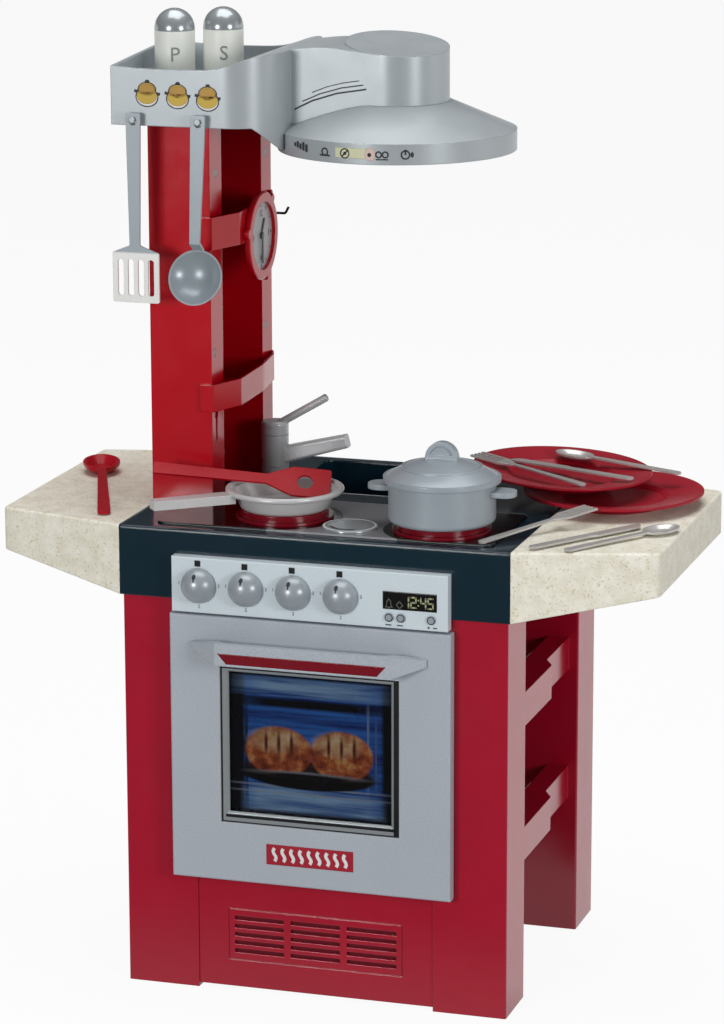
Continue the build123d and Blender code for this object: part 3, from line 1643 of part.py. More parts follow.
# Serving spoon: a large spoon lying on the left wing
serving_start = (-224.0, y_at(27.0), worktop_top - 5.5)
serving_end = (-307.0, y_at(235.0), worktop_top + 2.2)
serving_length = 224.0
serving_handle_width = 13.0
serving_bowl_length = 58.0
serving_bowl_width = 38.0
serving_bowl_depth = 10.0
serving_thickness = 3.0
serving_piece = spoon(
    serving_length,
    serving_handle_width,
    serving_bowl_length,
    serving_bowl_width,
    serving_bowl_depth,
    serving_thickness,
)
save(place_on(lying_plane(serving_start, serving_end), serving_piece), "serving_spoon")
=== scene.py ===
import json
import math

import bmesh
import bpy
from mathutils import Matrix, Vector
from mathutils.bvhtree import BVHTree


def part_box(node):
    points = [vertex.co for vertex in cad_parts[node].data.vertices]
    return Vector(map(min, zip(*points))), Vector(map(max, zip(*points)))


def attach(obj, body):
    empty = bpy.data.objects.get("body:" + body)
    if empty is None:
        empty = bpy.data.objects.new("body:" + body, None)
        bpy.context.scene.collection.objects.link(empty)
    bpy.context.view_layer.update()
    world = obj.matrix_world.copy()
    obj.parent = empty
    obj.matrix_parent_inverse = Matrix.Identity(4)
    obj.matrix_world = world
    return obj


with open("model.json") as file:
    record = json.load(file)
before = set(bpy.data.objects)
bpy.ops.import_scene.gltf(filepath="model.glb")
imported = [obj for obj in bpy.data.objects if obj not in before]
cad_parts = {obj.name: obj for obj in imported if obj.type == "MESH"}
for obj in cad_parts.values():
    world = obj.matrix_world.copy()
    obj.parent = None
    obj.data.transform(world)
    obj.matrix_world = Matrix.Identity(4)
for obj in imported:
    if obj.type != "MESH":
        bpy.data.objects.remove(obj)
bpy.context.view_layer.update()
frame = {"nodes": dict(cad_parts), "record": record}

LEG_FRONT = -0.1515
MM = 0.001


def spot(across, depth, height):
    """A point in millimetres, with depth counted back from the front of the legs, as metres."""
    return Vector((across * MM, LEG_FRONT + depth * MM, height * MM))


def linear(red, green, blue):
    """A colour as screens show it, 0 to 255, as the linear colour that shaders use."""
    out = []
    for value in (red, green, blue):
        share = value / 255
        out.append(share / 12.92 if share <= 0.04045 else ((share + 0.055) / 1.055) ** 2.4)
    return (*out, 1.0)


# Shader helpers

def start_material(name):
    """An empty node material: returns it with its tree, its shader and a coordinate source."""
    material = bpy.data.materials.new(name)
    material.use_nodes = True
    tree = material.node_tree
    shader = tree.nodes["Principled BSDF"]
    place = tree.nodes.new("ShaderNodeTexCoord")
    return material, tree, shader, place.outputs["Object"]


def noise(tree, where, scale, detail=3.0, roughness=0.55, stretch=None):
    """A noise value over the object's own coordinates, in metres."""
    if stretch:
        mapping = tree.nodes.new("ShaderNodeMapping")
        mapping.inputs["Scale"].default_value = stretch
        tree.links.new(where, mapping.inputs["Vector"])
        where = mapping.outputs["Vector"]
    node = tree.nodes.new("ShaderNodeTexNoise")
    node.inputs["Scale"].default_value = scale
    node.inputs["Detail"].default_value = detail
    node.inputs["Roughness"].default_value = roughness
    tree.links.new(where, node.inputs["Vector"])
    return node.outputs["Fac"]


def ramp(tree, value, stops):
    """A colour ramp: stops are pairs of position and linear colour."""
    node = tree.nodes.new("ShaderNodeValToRGB")
    elements = node.color_ramp.elements
    while len(elements) < len(stops):
        elements.new(0.5)
    for element, (position, colour) in zip(elements, stops):
        element.position = position
        element.color = colour
    tree.links.new(value, node.inputs["Fac"])
    return node.outputs["Color"]


def remap(tree, value, from_low, from_high, to_low, to_high):
    """A value moved from one range to another, and kept inside it."""
    node = tree.nodes.new("ShaderNodeMapRange")
    node.inputs["From Min"].default_value = from_low
    node.inputs["From Max"].default_value = from_high
    node.inputs["To Min"].default_value = to_low
    node.inputs["To Max"].default_value = to_high
    tree.links.new(value, node.inputs["Value"])
    return node.outputs["Result"]


def blend_colours(tree, share, first, second):
    """Two colours mixed by a share, each either a socket or a fixed value."""
    node = tree.nodes.new("ShaderNodeMix")
    node.data_type = "RGBA"
    for socket, value in zip((node.inputs[0], node.inputs[6], node.inputs[7]), (share, first, second)):
        if isinstance(value, (int, float, tuple)):
            socket.default_value = value
        else:
            tree.links.new(value, socket)
    return node.outputs[2]


def vector_math(tree, operation, vector, other=(0.0, 0.0, 0.0)):
    """One vector operation with a fixed second vector."""
    node = tree.nodes.new("ShaderNodeVectorMath")
    node.operation = operation
    tree.links.new(vector, node.inputs[0])
    node.inputs[1].default_value = other
    return node


def larger_of(tree, first, second):
    """The larger of two values."""
    node = tree.nodes.new("ShaderNodeMath")
    node.operation = "MAXIMUM"
    tree.links.new(first, node.inputs[0])
    tree.links.new(second, node.inputs[1])
    return node.outputs["Value"]


def reaches(tree, where, middle, halves):
    """How far a point is from a middle along each axis, in half sizes.

    A half size of 0 leaves an axis out.
    """
    offset = vector_math(tree, "SUBTRACT", where, middle).outputs["Vector"]
    scale = tuple(1 / half if half else 0.0 for half in halves)
    return vector_math(tree, "MULTIPLY", offset, scale).outputs["Vector"]


def oval_mask(tree, where, middle, halves, soft=0.1):
    """1 inside an oval, 0 outside, with a soft edge."""
    reach = vector_math(tree, "LENGTH", reaches(tree, where, middle, halves)).outputs["Value"]
    return remap(tree, reach, 1 - soft, 1 + soft, 1.0, 0.0)


def box_mask(tree, where, middle, halves, soft=0.1):
    """1 inside a box, 0 outside, with a soft edge."""
    positive = vector_math(tree, "ABSOLUTE", reaches(tree, where, middle, halves)).outputs["Vector"]
    split = tree.nodes.new("ShaderNodeSeparateXYZ")
    tree.links.new(positive, split.inputs["Vector"])
    largest = larger_of(tree, larger_of(tree, split.outputs["X"], split.outputs["Y"]), split.outputs["Z"])
    return remap(tree, largest, 1 - soft, 1 + soft, 1.0, 0.0)


def shade(colour, factor):
    """A linear colour made lighter or darker."""
    return (*(min(1.0, part * factor) for part in colour[:3]), 1.0)


def bump(tree, shader, layers, edge=0.0):
    """Bumps from pairs of value and height in metres, over edges softened by a radius in metres."""
    normal = None
    if edge:
        soft = tree.nodes.new("ShaderNodeBevel")
        soft.samples = 8
        soft.inputs["Radius"].default_value = edge
        normal = soft.outputs["Normal"]
    for value, height in layers:
        node = tree.nodes.new("ShaderNodeBump")
        node.inputs["Strength"].default_value = 1.0
        node.inputs["Distance"].default_value = height
        tree.links.new(value, node.inputs["Height"])
        if normal:
            tree.links.new(normal, node.inputs["Normal"])
        normal = node.outputs["Normal"]
    tree.links.new(normal, shader.inputs["Normal"])


# Materials, with the heights of their bumps and the radius of their soft edges in metres

FINE_GRAIN = 0.000004
PEEL_HEIGHT = 0.000008
SOFT_EDGE = 0.0012
THIN_EDGE = 0.0004
WORKTOP_EDGE = 0.004
PANEL_GRAIN = 0.00004
DOOR_GRAIN = 0.00005


def plastic(name, colour, gloss=0.3, specular=0.5, vary=0.05, grain=FINE_GRAIN, edge=SOFT_EDGE,
            fleck=0.0, metallic=0.0, paint=None):
    """Moulded or painted plastic: faint cloudiness, fine grain, uneven gloss and soft edges."""
    material, tree, shader, where = start_material(name)
    cloud = noise(tree, where, 9.0, 4.0)
    body = ramp(tree, cloud, [(0.3, shade(colour, 1 - vary)), (0.7, shade(colour, 1 + vary))])
    if fleck:
        flecks = noise(tree, where, 900.0, 2.0, 0.7)
        stops = [(0.35, shade(colour, 1 - fleck)), (0.65, shade(colour, 1 + fleck))]
        body = blend_colours(tree, 0.6, body, ramp(tree, flecks, stops))
    if paint:
        body = paint(tree, where, body)
    tree.links.new(body, shader.inputs["Base Color"])
    smudge = noise(tree, where, 30.0, 5.0, 0.6)
    tree.links.new(remap(tree, smudge, 0.3, 0.7, gloss * 0.85, gloss * 1.2), shader.inputs["Roughness"])
    shader.inputs["Specular IOR Level"].default_value = specular
    shader.inputs["Metallic"].default_value = metallic
    peel = noise(tree, where, 160.0, 2.0)
    fine = noise(tree, where, 1400.0, 2.0)
    bump(tree, shader, [(peel, PEEL_HEIGHT), (fine, grain)], edge)
    return material


def hob_middle(tree, where, body):
    """The grey middle of the hob, between the black rounds under the burners."""
    rounds = ((-51, 70), (112, 60))
    round_radius = 57 * MM
    left, right = rounds[0][0], rounds[1][0]
    between = spot((left + right) / 2, 0, 0)
    middle = box_mask(tree, where, between, ((right - left) / 2 * MM, 0, 0), 0.01)
    painted = blend_colours(tree, middle, body, linear(124, 125, 129))
    for across, depth in rounds:
        inside = oval_mask(tree, where, spot(across, depth, 0), (round_radius, round_radius, 0), 0.01)
        painted = blend_colours(tree, inside, painted, body)
    return painted


def tap_groove_shade(tree, where, body):
    """Two dark bands round the column of the tap: painted shade standing in for two grooves."""
    for height in (569, 561):
        groove = box_mask(tree, where, spot(0, 0, height), (0, 0, 1.3 * MM), 0.3)
        body = blend_colours(tree, groove, body, linear(54, 52, 54))
    return body


def painted_blade_glare(tree, where, body):
    """A blade painted nearly white below the grey handle: painted glare, a painted reflection of the bright
    surroundings on it.
    """
    blade = box_mask(tree, where, spot(0, 0, 627), (0, 0, 100 * MM), 0.01)
    return blend_colours(tree, blade, body, linear(226, 226, 223))


def oven_scene(tree, where, body):
    """A lit blue oven with two golden loaves on a tray, printed on the card."""
    def lay(mask, body, across, height, half_wide, half_high, soft, colour):
        shape = mask(tree, where, spot(across, 0, height), (half_wide * MM, 0, half_high * MM), soft)
        return blend_colours(tree, shape, body, colour)

    across_streaks = noise(tree, where, 60.0, 4.0, 0.6, stretch=(0.12, 1.0, 2.4))
    crust_spots = noise(tree, where, 70.0, 4.0, 0.6)
    wall = ramp(tree, across_streaks, [(0.36, linear(8, 34, 126)), (0.64, linear(48, 126, 226))])
    base = ramp(tree, across_streaks, [(0.36, linear(30, 86, 180)), (0.64, linear(160, 204, 246))])
    crust = ramp(tree, crust_spots, [(0.34, linear(128, 46, 26)), (0.5, linear(204, 98, 48)),
                                     (0.66, linear(244, 176, 104))])
    shine = ramp(tree, crust_spots, [(0.34, linear(226, 158, 96)), (0.66, linear(255, 232, 190))])
    body = lay(box_mask, body, 2, 262, 70, 66, 0.03, wall)
    body = lay(box_mask, body, 0, 319, 66, 8, 0.3, base)
    body = lay(box_mask, body, 0, 303, 74, 4.5, 0.4, linear(8, 12, 24))
    body = lay(box_mask, body, 2, 206, 66, 13, 0.15, base)
    body = lay(box_mask, body, 58, 262, 1.2, 40, 0.3, linear(120, 150, 200))
    body = lay(box_mask, body, 66, 256, 0.9, 34, 0.3, linear(90, 120, 176))
    body = lay(box_mask, body, -66, 252, 1.4, 44, 0.5, linear(30, 40, 70))
    for height in (219, 212):
        body = lay(box_mask, body, -2, height, 64, 0.8, 0.5, linear(170, 186, 210))
    body = lay(oval_mask, body, -3, 231, 68, 14, 0.05, linear(16, 14, 18))
    body = lay(oval_mask, body, -3, 238, 65, 9, 0.1, linear(60, 30, 30))
    for middle, half in ((-33, 34), (31, 32)):
        body = lay(oval_mask, body, middle, 254, half, 25, 0.05, crust)
        body = lay(oval_mask, body, middle - 4, 265, half * 0.62, 10, 0.5, shine)
        for cut in (-13, 0, 13):
            body = lay(oval_mask, body, middle + cut, 262, 1.7, 11, 0.5, linear(112, 40, 24))
    body = lay(oval_mask, body, -3, 232, 52, 3, 0.4, linear(150, 150, 160))
    return lay(oval_mask, body, -3, 230, 52, 3, 0.3, linear(24, 20, 24))


def stone():
    """Cream plastic with tan and grey speckles, as on a stone worktop."""
    material, tree, shader, where = start_material("cream_stone")
    blotch = noise(tree, where, 60.0, 4.0)
    ground = ramp(tree, blotch, [(0.35, linear(228, 223, 205)), (0.65, linear(242, 239, 226))])
    tan_spots = noise(tree, where, 330.0, 3.0, 0.7)
    tan_mask = ramp(tree, tan_spots, [(0.56, (0, 0, 0, 1)), (0.66, (1, 1, 1, 1))])
    ground = blend_colours(tree, tan_mask, ground, linear(208, 196, 164))
    grey_spots = noise(tree, where, 520.0, 2.0, 0.6, stretch=(1.0, 1.3, 0.9))
    grey_mask = ramp(tree, grey_spots, [(0.66, (0, 0, 0, 1)), (0.74, (0.7, 0.7, 0.7, 1))])
    ground = blend_colours(tree, grey_mask, ground, linear(164, 154, 134))
    white_spots = noise(tree, where, 240.0, 3.0, 0.7, stretch=(1.2, 0.9, 1.1))
    white_mask = ramp(tree, white_spots, [(0.6, (0, 0, 0, 1)), (0.7, (0.6, 0.6, 0.6, 1))])
    ground = blend_colours(tree, white_mask, ground, linear(250, 249, 244))
    tree.links.new(ground, shader.inputs["Base Color"])
    shader.inputs["Specular IOR Level"].default_value = 0.12
    tree.links.new(remap(tree, blotch, 0.3, 0.7, 0.5, 0.6), shader.inputs["Roughness"])
    fine = noise(tree, where, 900.0, 2.0)
    bump(tree, shader, [(noise(tree, where, 160.0), 0.00006), (fine, 0.00003)], 0.002)
    return material


def clear_pane():
    """Clear moulded plastic for the door's window."""
    material, tree, shader, where = start_material("window_clear")
    shader.inputs["Base Color"].default_value = linear(10, 12, 18)
    shader.inputs["Specular IOR Level"].default_value = 1.0
    shader.inputs["Alpha"].default_value = 0.07
    smudge = noise(tree, where, 25.0, 4.0)
    tree.links.new(remap(tree, smudge, 0.3, 0.7, 0.04, 0.09), shader.inputs["Roughness"])
    bump(tree, shader, [(noise(tree, where, 40.0, 1.0), 0.00002)])
    return material


finish = {
    "red_body": plastic("red_body", linear(168, 14, 42), 0.19),
    # A darker red used only for the sheet behind the vent slots: painted shade.
    "vent_red": plastic("vent_red", linear(104, 12, 30), 0.5, 0.2),
    "red_tower": plastic("red_tower", linear(184, 4, 24), 0.18, 0.45),
    "dark_plastic": plastic("dark_plastic", linear(34, 35, 38), 0.45, 0.35),
    "navy_top": plastic("navy_top", linear(12, 38, 50), 0.17, 0.45, edge=WORKTOP_EDGE),
    "hob_black": plastic("hob_black", linear(10, 11, 13), 0.14, 0.28, paint=hob_middle),
    "burner_red": plastic("burner_red", linear(120, 10, 28), 0.2, 0.45),
    "silver_plastic": plastic("silver_plastic", linear(166, 172, 175), 0.22, fleck=0.06, metallic=0.45),
    "silver_panel": plastic("silver_panel", linear(205, 217, 223), 0.42, 0.3, fleck=0.12,
                            grain=PANEL_GRAIN),
    "door_silver": plastic("door_silver", linear(172, 179, 187), 0.5, 0.3, fleck=0.2, grain=DOOR_GRAIN),
    "display_black": plastic("display_black", linear(12, 13, 11), 0.12),
    "dial_white": plastic("dial_white", linear(172, 170, 172), 0.35, 0.4, vary=0.12),
    "hand_black": plastic("hand_black", linear(84, 84, 90), 0.4, 0.3),
    "hood_silver": plastic("hood_silver", linear(170, 177, 181), 0.34, 0.45, fleck=0.03, metallic=0.2),
    "hook_wire": plastic("hook_wire", linear(42, 41, 41), 0.35, metallic=0.6),
    "screw_steel": plastic("screw_steel", linear(120, 118, 116), 0.35, metallic=0.9),
    # The dark bands on the tap are painted shade for its grooves.
    "tap_silver": plastic("tap_silver", linear(190, 192, 194), 0.28, fleck=0.04, metallic=0.15,
                          paint=tap_groove_shade),
    "knob_silver": plastic("knob_silver", linear(160, 168, 174), 0.33, fleck=0.06, metallic=0.25),
    "shaker_cream": plastic("shaker_cream", linear(232, 234, 226), 0.4, 0.4),
    "pot_grey": plastic("pot_grey", linear(160, 170, 177), 0.34, fleck=0.05, metallic=0.15),
    "pan_silver": plastic("pan_silver", linear(200, 199, 199), fleck=0.02, metallic=0.15, edge=THIN_EDGE),
    "red_tools": plastic("red_tools", linear(172, 4, 26), 0.3, 0.2, edge=THIN_EDGE),
    "tool_grey": plastic("tool_grey", linear(150, 160, 166), 0.32, fleck=0.02, metallic=0.2,
                         edge=THIN_EDGE),
    "plate_red": plastic("plate_red", linear(160, 18, 38), 0.36, 0.3),
    # The turner's blade is painted nearly white: painted glare, not the blade's own colour.
    "turner_grey": plastic("turner_grey", linear(152, 162, 168), 0.36, fleck=0.02, metallic=0.1,
                           paint=painted_blade_glare, edge=THIN_EDGE),
    "cutlery_silver": plastic("cutlery_silver", linear(198, 195, 192), 0.22, fleck=0.04, metallic=0.35,
                              edge=THIN_EDGE),
    "picture_card": plastic("picture_card", linear(10, 14, 26), 0.3, 0.4, paint=oven_scene),
    "print_dark": plastic("print_dark", linear(58, 60, 64), 0.5, 0.3, vary=0.12),
    "print_black": plastic("print_black", linear(12, 13, 14), 0.4, 0.4, vary=0.12),
    "print_light": plastic("print_light", linear(226, 228, 226), 0.4, 0.3),
    "print_lime": plastic("print_lime", linear(178, 182, 140), 0.4, 0.3, vary=0.1),
    "print_dim": plastic("print_dim", linear(104, 108, 102), 0.4, 0.3, vary=0.1),
    "print_soft": plastic("print_soft", linear(150, 154, 150), 0.4, 0.3, vary=0.1),
    "print_gold": plastic("print_gold", linear(196, 164, 60), 0.4, 0.3, vary=0.14),
    "print_amber": plastic("print_amber", linear(178, 138, 56), 0.4, 0.3, vary=0.14),
    "print_yellow": plastic("print_yellow", linear(206, 208, 172), 0.4, 0.3, vary=0.06),
    "print_rose": plastic("print_rose", linear(210, 186, 178), 0.4, 0.3, vary=0.06),
    "badge_red": plastic("badge_red", linear(164, 26, 48), 0.35, 0.4),
}
finish["cream_stone"] = stone()
finish["window_clear"] = clear_pane()

CAD_FINISH = {
    "door_shell": "door_silver",
    "door_handle": "door_silver",
    "window_trim": "silver_plastic",
    "slotted_turner": "turner_grey",
}
slots = {entry["node"]: entry["material_slot"] for entry in frame["record"]["subparts"]}
for node, item in frame["nodes"].items():
    item.data.materials.clear()
    item.data.materials.append(finish[CAD_FINISH.get(node, slots[node])])


# Flat shapes in millimetres

def oval(across, up, half_wide, half_high, sides=28):
    """A filled oval as one closed outline."""
    turns = [2 * math.pi * step / sides for step in range(sides)]
    return [[(across + half_wide * math.cos(turn), up + half_high * math.sin(turn)) for turn in turns]]


def bar(start, stop, width):
    """A straight stroke between two points, with square ends."""
    run = Vector(stop) - Vector(start)
    side = Vector((-run.y, run.x)).normalized() * (width / 2)
    first, last = Vector(start), Vector(stop)
    return [[tuple(first - side), tuple(last - side), tuple(last + side), tuple(first + side)]]


def slab(left, low, right, high):
    """A filled rectangle."""
    return [[(left, low), (right, low), (right, high), (left, high)]]


def shade_ring(across, up, outer, inner, start=0, stop=360, steps=36):
    """A ring or an arc of one, as a strip of quads."""
    quads = []
    for step in range(steps):
        first = math.radians(start + (stop - start) * step / steps)
        last = math.radians(start + (stop - start) * (step + 1) / steps)
        quads.append([(across + reach * math.cos(turn), up + reach * math.sin(turn))
                      for reach, turn in ((inner, first), (outer, first), (outer, last), (inner, last))])
    return quads


def ribbon(points, width):
    """A line through points as one strip, mitred at each bend."""
    line = [Vector(point) for point in points]
    closed = points[0] == points[-1]
    edges = []
    for place, point in enumerate(line):
        before = line[place - 1] if place else line[-2]
        after = line[place + 1] if place + 1 < len(line) else line[1]
        first = (point - before).normalized()
        last = (after - point).normalized()
        if not closed and place == 0:
            first = last
        if not closed and place + 1 == len(line):
            last = first
        run = (first + last).normalized()
        side = Vector((-run.y, run.x)) * (width / 2 / max(0.4, run.dot(last)))
        edges.append((tuple(point - side), tuple(point + side)))
    return [[start[0], stop[0], stop[1], start[1]] for start, stop in zip(edges, edges[1:])]


CAPITAL_SHARE = 0.7


def letters(text, across, up, high):
    """The built-in font's letters, centred on a point, as flat faces.

    A capital of that font is CAPITAL_SHARE of its size in height.
    """
    curve = bpy.data.curves.new("letters", "FONT")
    curve.body = text
    curve.align_x = "CENTER"
    curve.align_y = "CENTER"
    curve.resolution_u = 3
    holder = bpy.data.objects.new("letters", curve)
    bpy.context.scene.collection.objects.link(holder)
    bpy.context.view_layer.update()
    mesh = bpy.data.meshes.new_from_object(holder.evaluated_get(bpy.context.evaluated_depsgraph_get()))
    scale = high / CAPITAL_SHARE
    shapes = [[(across + mesh.vertices[i].co.x * scale, up + mesh.vertices[i].co.y * scale)
               for i in face.vertices] for face in mesh.polygons]
    bpy.data.objects.remove(holder)
    bpy.data.meshes.remove(mesh)
    return shapes


def moved(shapes, across, up, scale=1.0):
    """The same outlines at another place and size."""
    return [[(across + u * scale, up + v * scale) for u, v in outline] for outline in shapes]


# Where flat shapes lie: each gives a start point and the direction to look along

START_OFF = 60
START_HEIGHT = 560
START_ROUND = 25
FILM = 0.08


def on_front(across, height):
    """From in front of the part, looking back."""
    return spot(across, -START_OFF, height), Vector((0, 1, 0))


def on_right(depth, height):
    """From the right of the tower, looking left."""
    return spot(START_OFF, depth, height), Vector((-1, 0, 0))


def on_top(across, depth):
    """From above the worktop, looking down."""
    return spot(across, depth, START_HEIGHT), Vector((0, 0, -1))


def around(middle_across, middle_depth, radius):
    """Wraps shapes round an upright cylinder.

    Across runs along its surface from the front, to the right.
    """
    def place(across, height):
        turn = across / radius
        out = Vector((math.sin(turn), -math.cos(turn), 0))
        return spot(middle_across, middle_depth, height) + out * (radius + START_ROUND) * MM, -out
    return place


surfaces = {}


def surface_of(node):
    """The surface of a node, ready for rays to land on."""
    if node not in surfaces:
        mesh = frame["nodes"][node].data
        points = [vertex.co for vertex in mesh.vertices]
        surfaces[node] = BVHTree.FromPolygons(points, [tuple(face.vertices) for face in mesh.polygons])
    return surfaces[node]


def printed(name, shapes, place, node, look, body, lift=0.12, cuts=0):
    """Thin printed shapes laid on a node's surface, lifted off it by a fraction of a millimetre."""
    tree = surface_of(node)
    flat = bmesh.new()
    for outline in shapes:
        flat.faces.new([flat.verts.new((u, v, 0)) for u, v in outline])
    bmesh.ops.remove_doubles(flat, verts=flat.verts, dist=0.001)
    bmesh.ops.triangulate(flat, faces=flat.faces)
    if cuts:
        bmesh.ops.subdivide_edges(flat, edges=flat.edges, cuts=cuts, use_grid_fill=True)
    for corner in flat.verts:
        start, along = place(corner.co.x, corner.co.y)
        hit = tree.ray_cast(start, along)[0]
        if hit is None:
            raise ValueError(f"{name} misses {node} at {corner.co.x:.1f}, {corner.co.y:.1f}")
        corner.co = hit - along * lift * MM
    flat.normal_update()
    for face in flat.faces:
        if face.normal.dot(along) > 0:
            face.normal_flip()
    mesh = bpy.data.meshes.new(name)
    flat.to_mesh(mesh)
    flat.free()
    piece = bpy.data.objects.new(name, mesh)
    bpy.context.scene.collection.objects.link(piece)
    thick = piece.modifiers.new("film", "SOLIDIFY")
    thick.thickness = FILM * MM
    thick.offset = 1.0
    mesh.materials.append(finish[look])
    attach(piece, body)
    return piece


# Marks on the control panel

KNOB_PLACES = (-111.4, -63.4, -15.4, 32.6)
KNOB_HEIGHT = 416.4

squares = []
numerals = []
for place in KNOB_PLACES:
    squares += slab(place - 4, 435, place + 2, 441)
    numerals += letters("1", place - 20.3, 417.5, 3.4)
    numerals += letters("2", place, 395.2, 3.4)
    numerals += letters("3", place + 20.3, 417, 3.4)
marks = []
for place, wide in ((80.5, 6), (92, 6), (127, 4)):
    marks += slab(place - wide / 2, 391.4, place + wide / 2, 392.5)
marks += oval(120.5, 392, 1, 1)
printed("panel_squares", squares, on_front, "control_panel", "print_black", "kitchen")
printed("panel_numbers", numerals + marks, on_front, "control_panel", "print_dark", "kitchen")

for number, place in enumerate(KNOB_PLACES, start=1):
    node = f"knob_{number}"
    pointer = oval(place - 0.5, KNOB_HEIGHT + 11, 1.9, 2.2)
    pointer += bar((place - 0.5, KNOB_HEIGHT + 10), (place - 0.3, KNOB_HEIGHT + 6.5), 1.3)
    printed(f"knob_{number}_pointer", pointer, on_front, node, "print_dark", node)

# A dark ring printed round each button's face: painted shade at the button's rim.
for number, place in enumerate((81.3, 93.1, 123.2), start=1):
    node = f"button_{number}"
    rim = shade_ring(place, 399.5, 4.0, 3.1)
    printed(f"button_{number}_ring", rim, on_front, node, "print_dark", node)


# A dark sheet behind the vent slots in the kick panel: painted shade, so the slots look dark as if shadowed
# inside

SHADE_SHEET_GAP = 3.4 * MM
SHADE_SHEET_HALF = 88 * MM
SHADE_SHEET_LOW = 34 * MM
SHADE_SHEET_HIGH = 83 * MM
SHADE_SHEET_RIM = 4 * MM
SHADE_SHEET_WALL = 1.2 * MM
SHADE_SHEET_BEVEL = 0.4 * MM


def add_vent_shade_sheet():
    """A dark red shallow pan behind the slots, with its rim turned back: painted shade where the inside is
    only in shadow.
    """
    panel_low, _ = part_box("kick_panel")
    front_face = panel_low[1] + SHADE_SHEET_GAP
    flat = bmesh.new()
    corners = [flat.verts.new((across, front_face, height)) for across, height in
               ((-SHADE_SHEET_HALF, SHADE_SHEET_LOW), (SHADE_SHEET_HALF, SHADE_SHEET_LOW),
                (SHADE_SHEET_HALF, SHADE_SHEET_HIGH), (-SHADE_SHEET_HALF, SHADE_SHEET_HIGH))]
    rim_edges = flat.faces.new(corners).edges[:]
    turned = bmesh.ops.extrude_edge_only(flat, edges=rim_edges)["geom"]
    for corner in (item for item in turned if isinstance(item, bmesh.types.BMVert)):
        corner.co.y += SHADE_SHEET_RIM
    mesh = bpy.data.meshes.new("vent_shade_sheet")
    flat.to_mesh(mesh)
    flat.free()
    shade_sheet = bpy.data.objects.new("vent_shade_sheet", mesh)
    bpy.context.scene.collection.objects.link(shade_sheet)
    sheet = shade_sheet.modifiers.new("wall", "SOLIDIFY")
    sheet.thickness = SHADE_SHEET_WALL
    sheet.offset = -1.0
    soften = shade_sheet.modifiers.new("soften", "BEVEL")
    soften.width = SHADE_SHEET_BEVEL
    soften.segments = 2
    mesh.materials.append(finish["vent_red"])
    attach(shade_sheet, "kitchen")


add_vent_shade_sheet()


# Glowing digits on the display

SEGMENTS = {"1": "bc", "2": "abged", "4": "fgbc", "5": "afgcd"}


def digit(value, left, low, wide, high, width):
    """A seven-segment digit drawn as strokes."""
    right, top, middle = left + wide, low + high, low + high / 2
    strokes = {
        "a": ((left, top), (right, top)), "b": ((right, top), (right, middle)),
        "c": ((right, middle), (right, low)), "d": ((left, low), (right, low)),
        "e": ((left, middle), (left, low)), "f": ((left, top), (left, middle)),
        "g": ((left, middle), (right, middle)),
    }
    shapes = []
    for letter in SEGMENTS[value]:
        start, stop = strokes[letter]
        shapes += bar(start, stop, width)
        for across, up in (start, stop):
            shapes += oval(across, up, width / 2, width / 2, 12)
    return shapes


clock_face = oval(110.4, 418, 0.8, 0.8) + oval(110.4, 413, 0.8, 0.8)
for value, left, wide in (("1", 97, 3.6), ("2", 103, 5), ("4", 112.8, 4.8), ("5", 120, 4.8)):
    clock_face += digit(value, left, 410.6, wide, 10, 1.5)
bell = [(77.6, 409.6), (78.8, 411.6), (79.2, 415.4), (81, 417.6), (82.8, 415.4), (83.2, 411.6),
        (84.4, 409.6), (77.6, 409.6)]
drop = [(91.6, 415.8), (94.8, 412), (91.6, 408.8), (88.4, 412), (91.6, 415.8)]
signs = ribbon(bell, 0.8) + ribbon(drop, 0.8) + oval(81, 408.6, 0.8, 0.6)
printed("display_digits", clock_face, on_front, "display_window", "print_lime", "kitchen")
printed("display_signs", signs, on_front, "display_window", "print_dim", "kitchen")


# Badge place on the door, with heat waves, and the lines of the window trim

WAVE_PITCH = 9
WAVE_SWAY = 1.5
WAVE_FOOT = 143.6
WAVE_HEIGHT = 13.4
WAVE_WIDTH = 3.4

waves = []
for step in range(9):
    middle = (step - 4) * WAVE_PITCH
    waves += ribbon([(middle + WAVE_SWAY * math.sin(turn), WAVE_FOOT + turn * WAVE_HEIGHT / (2 * math.pi))
                     for turn in (math.pi * part / 4 for part in range(9))], WAVE_WIDTH)
printed("badge_plate", slab(-44.5, 139.8, 44.5, 160.6), on_front, "door_shell", "badge_red", "door",
        0.2)
printed("badge_waves", waves, on_front, "door_shell", "print_light", "door", 0.34)

trim_lines = slab(-90.5, 179.4, -88.9, 336.6) + slab(85.4, 179.4, 90.5, 336.6)
trim_lines += slab(-88.8, 179.4, 85.3, 180.6) + slab(-86, 184.4, 85.3, 187.4)
trim_lines += slab(-88.8, 335.2, 85.3, 336.6)
printed("window_lines", trim_lines, on_front, "window_trim", "print_black", "door")


# Pictures on the hood: pots on the tray, signs on the canopy's rim

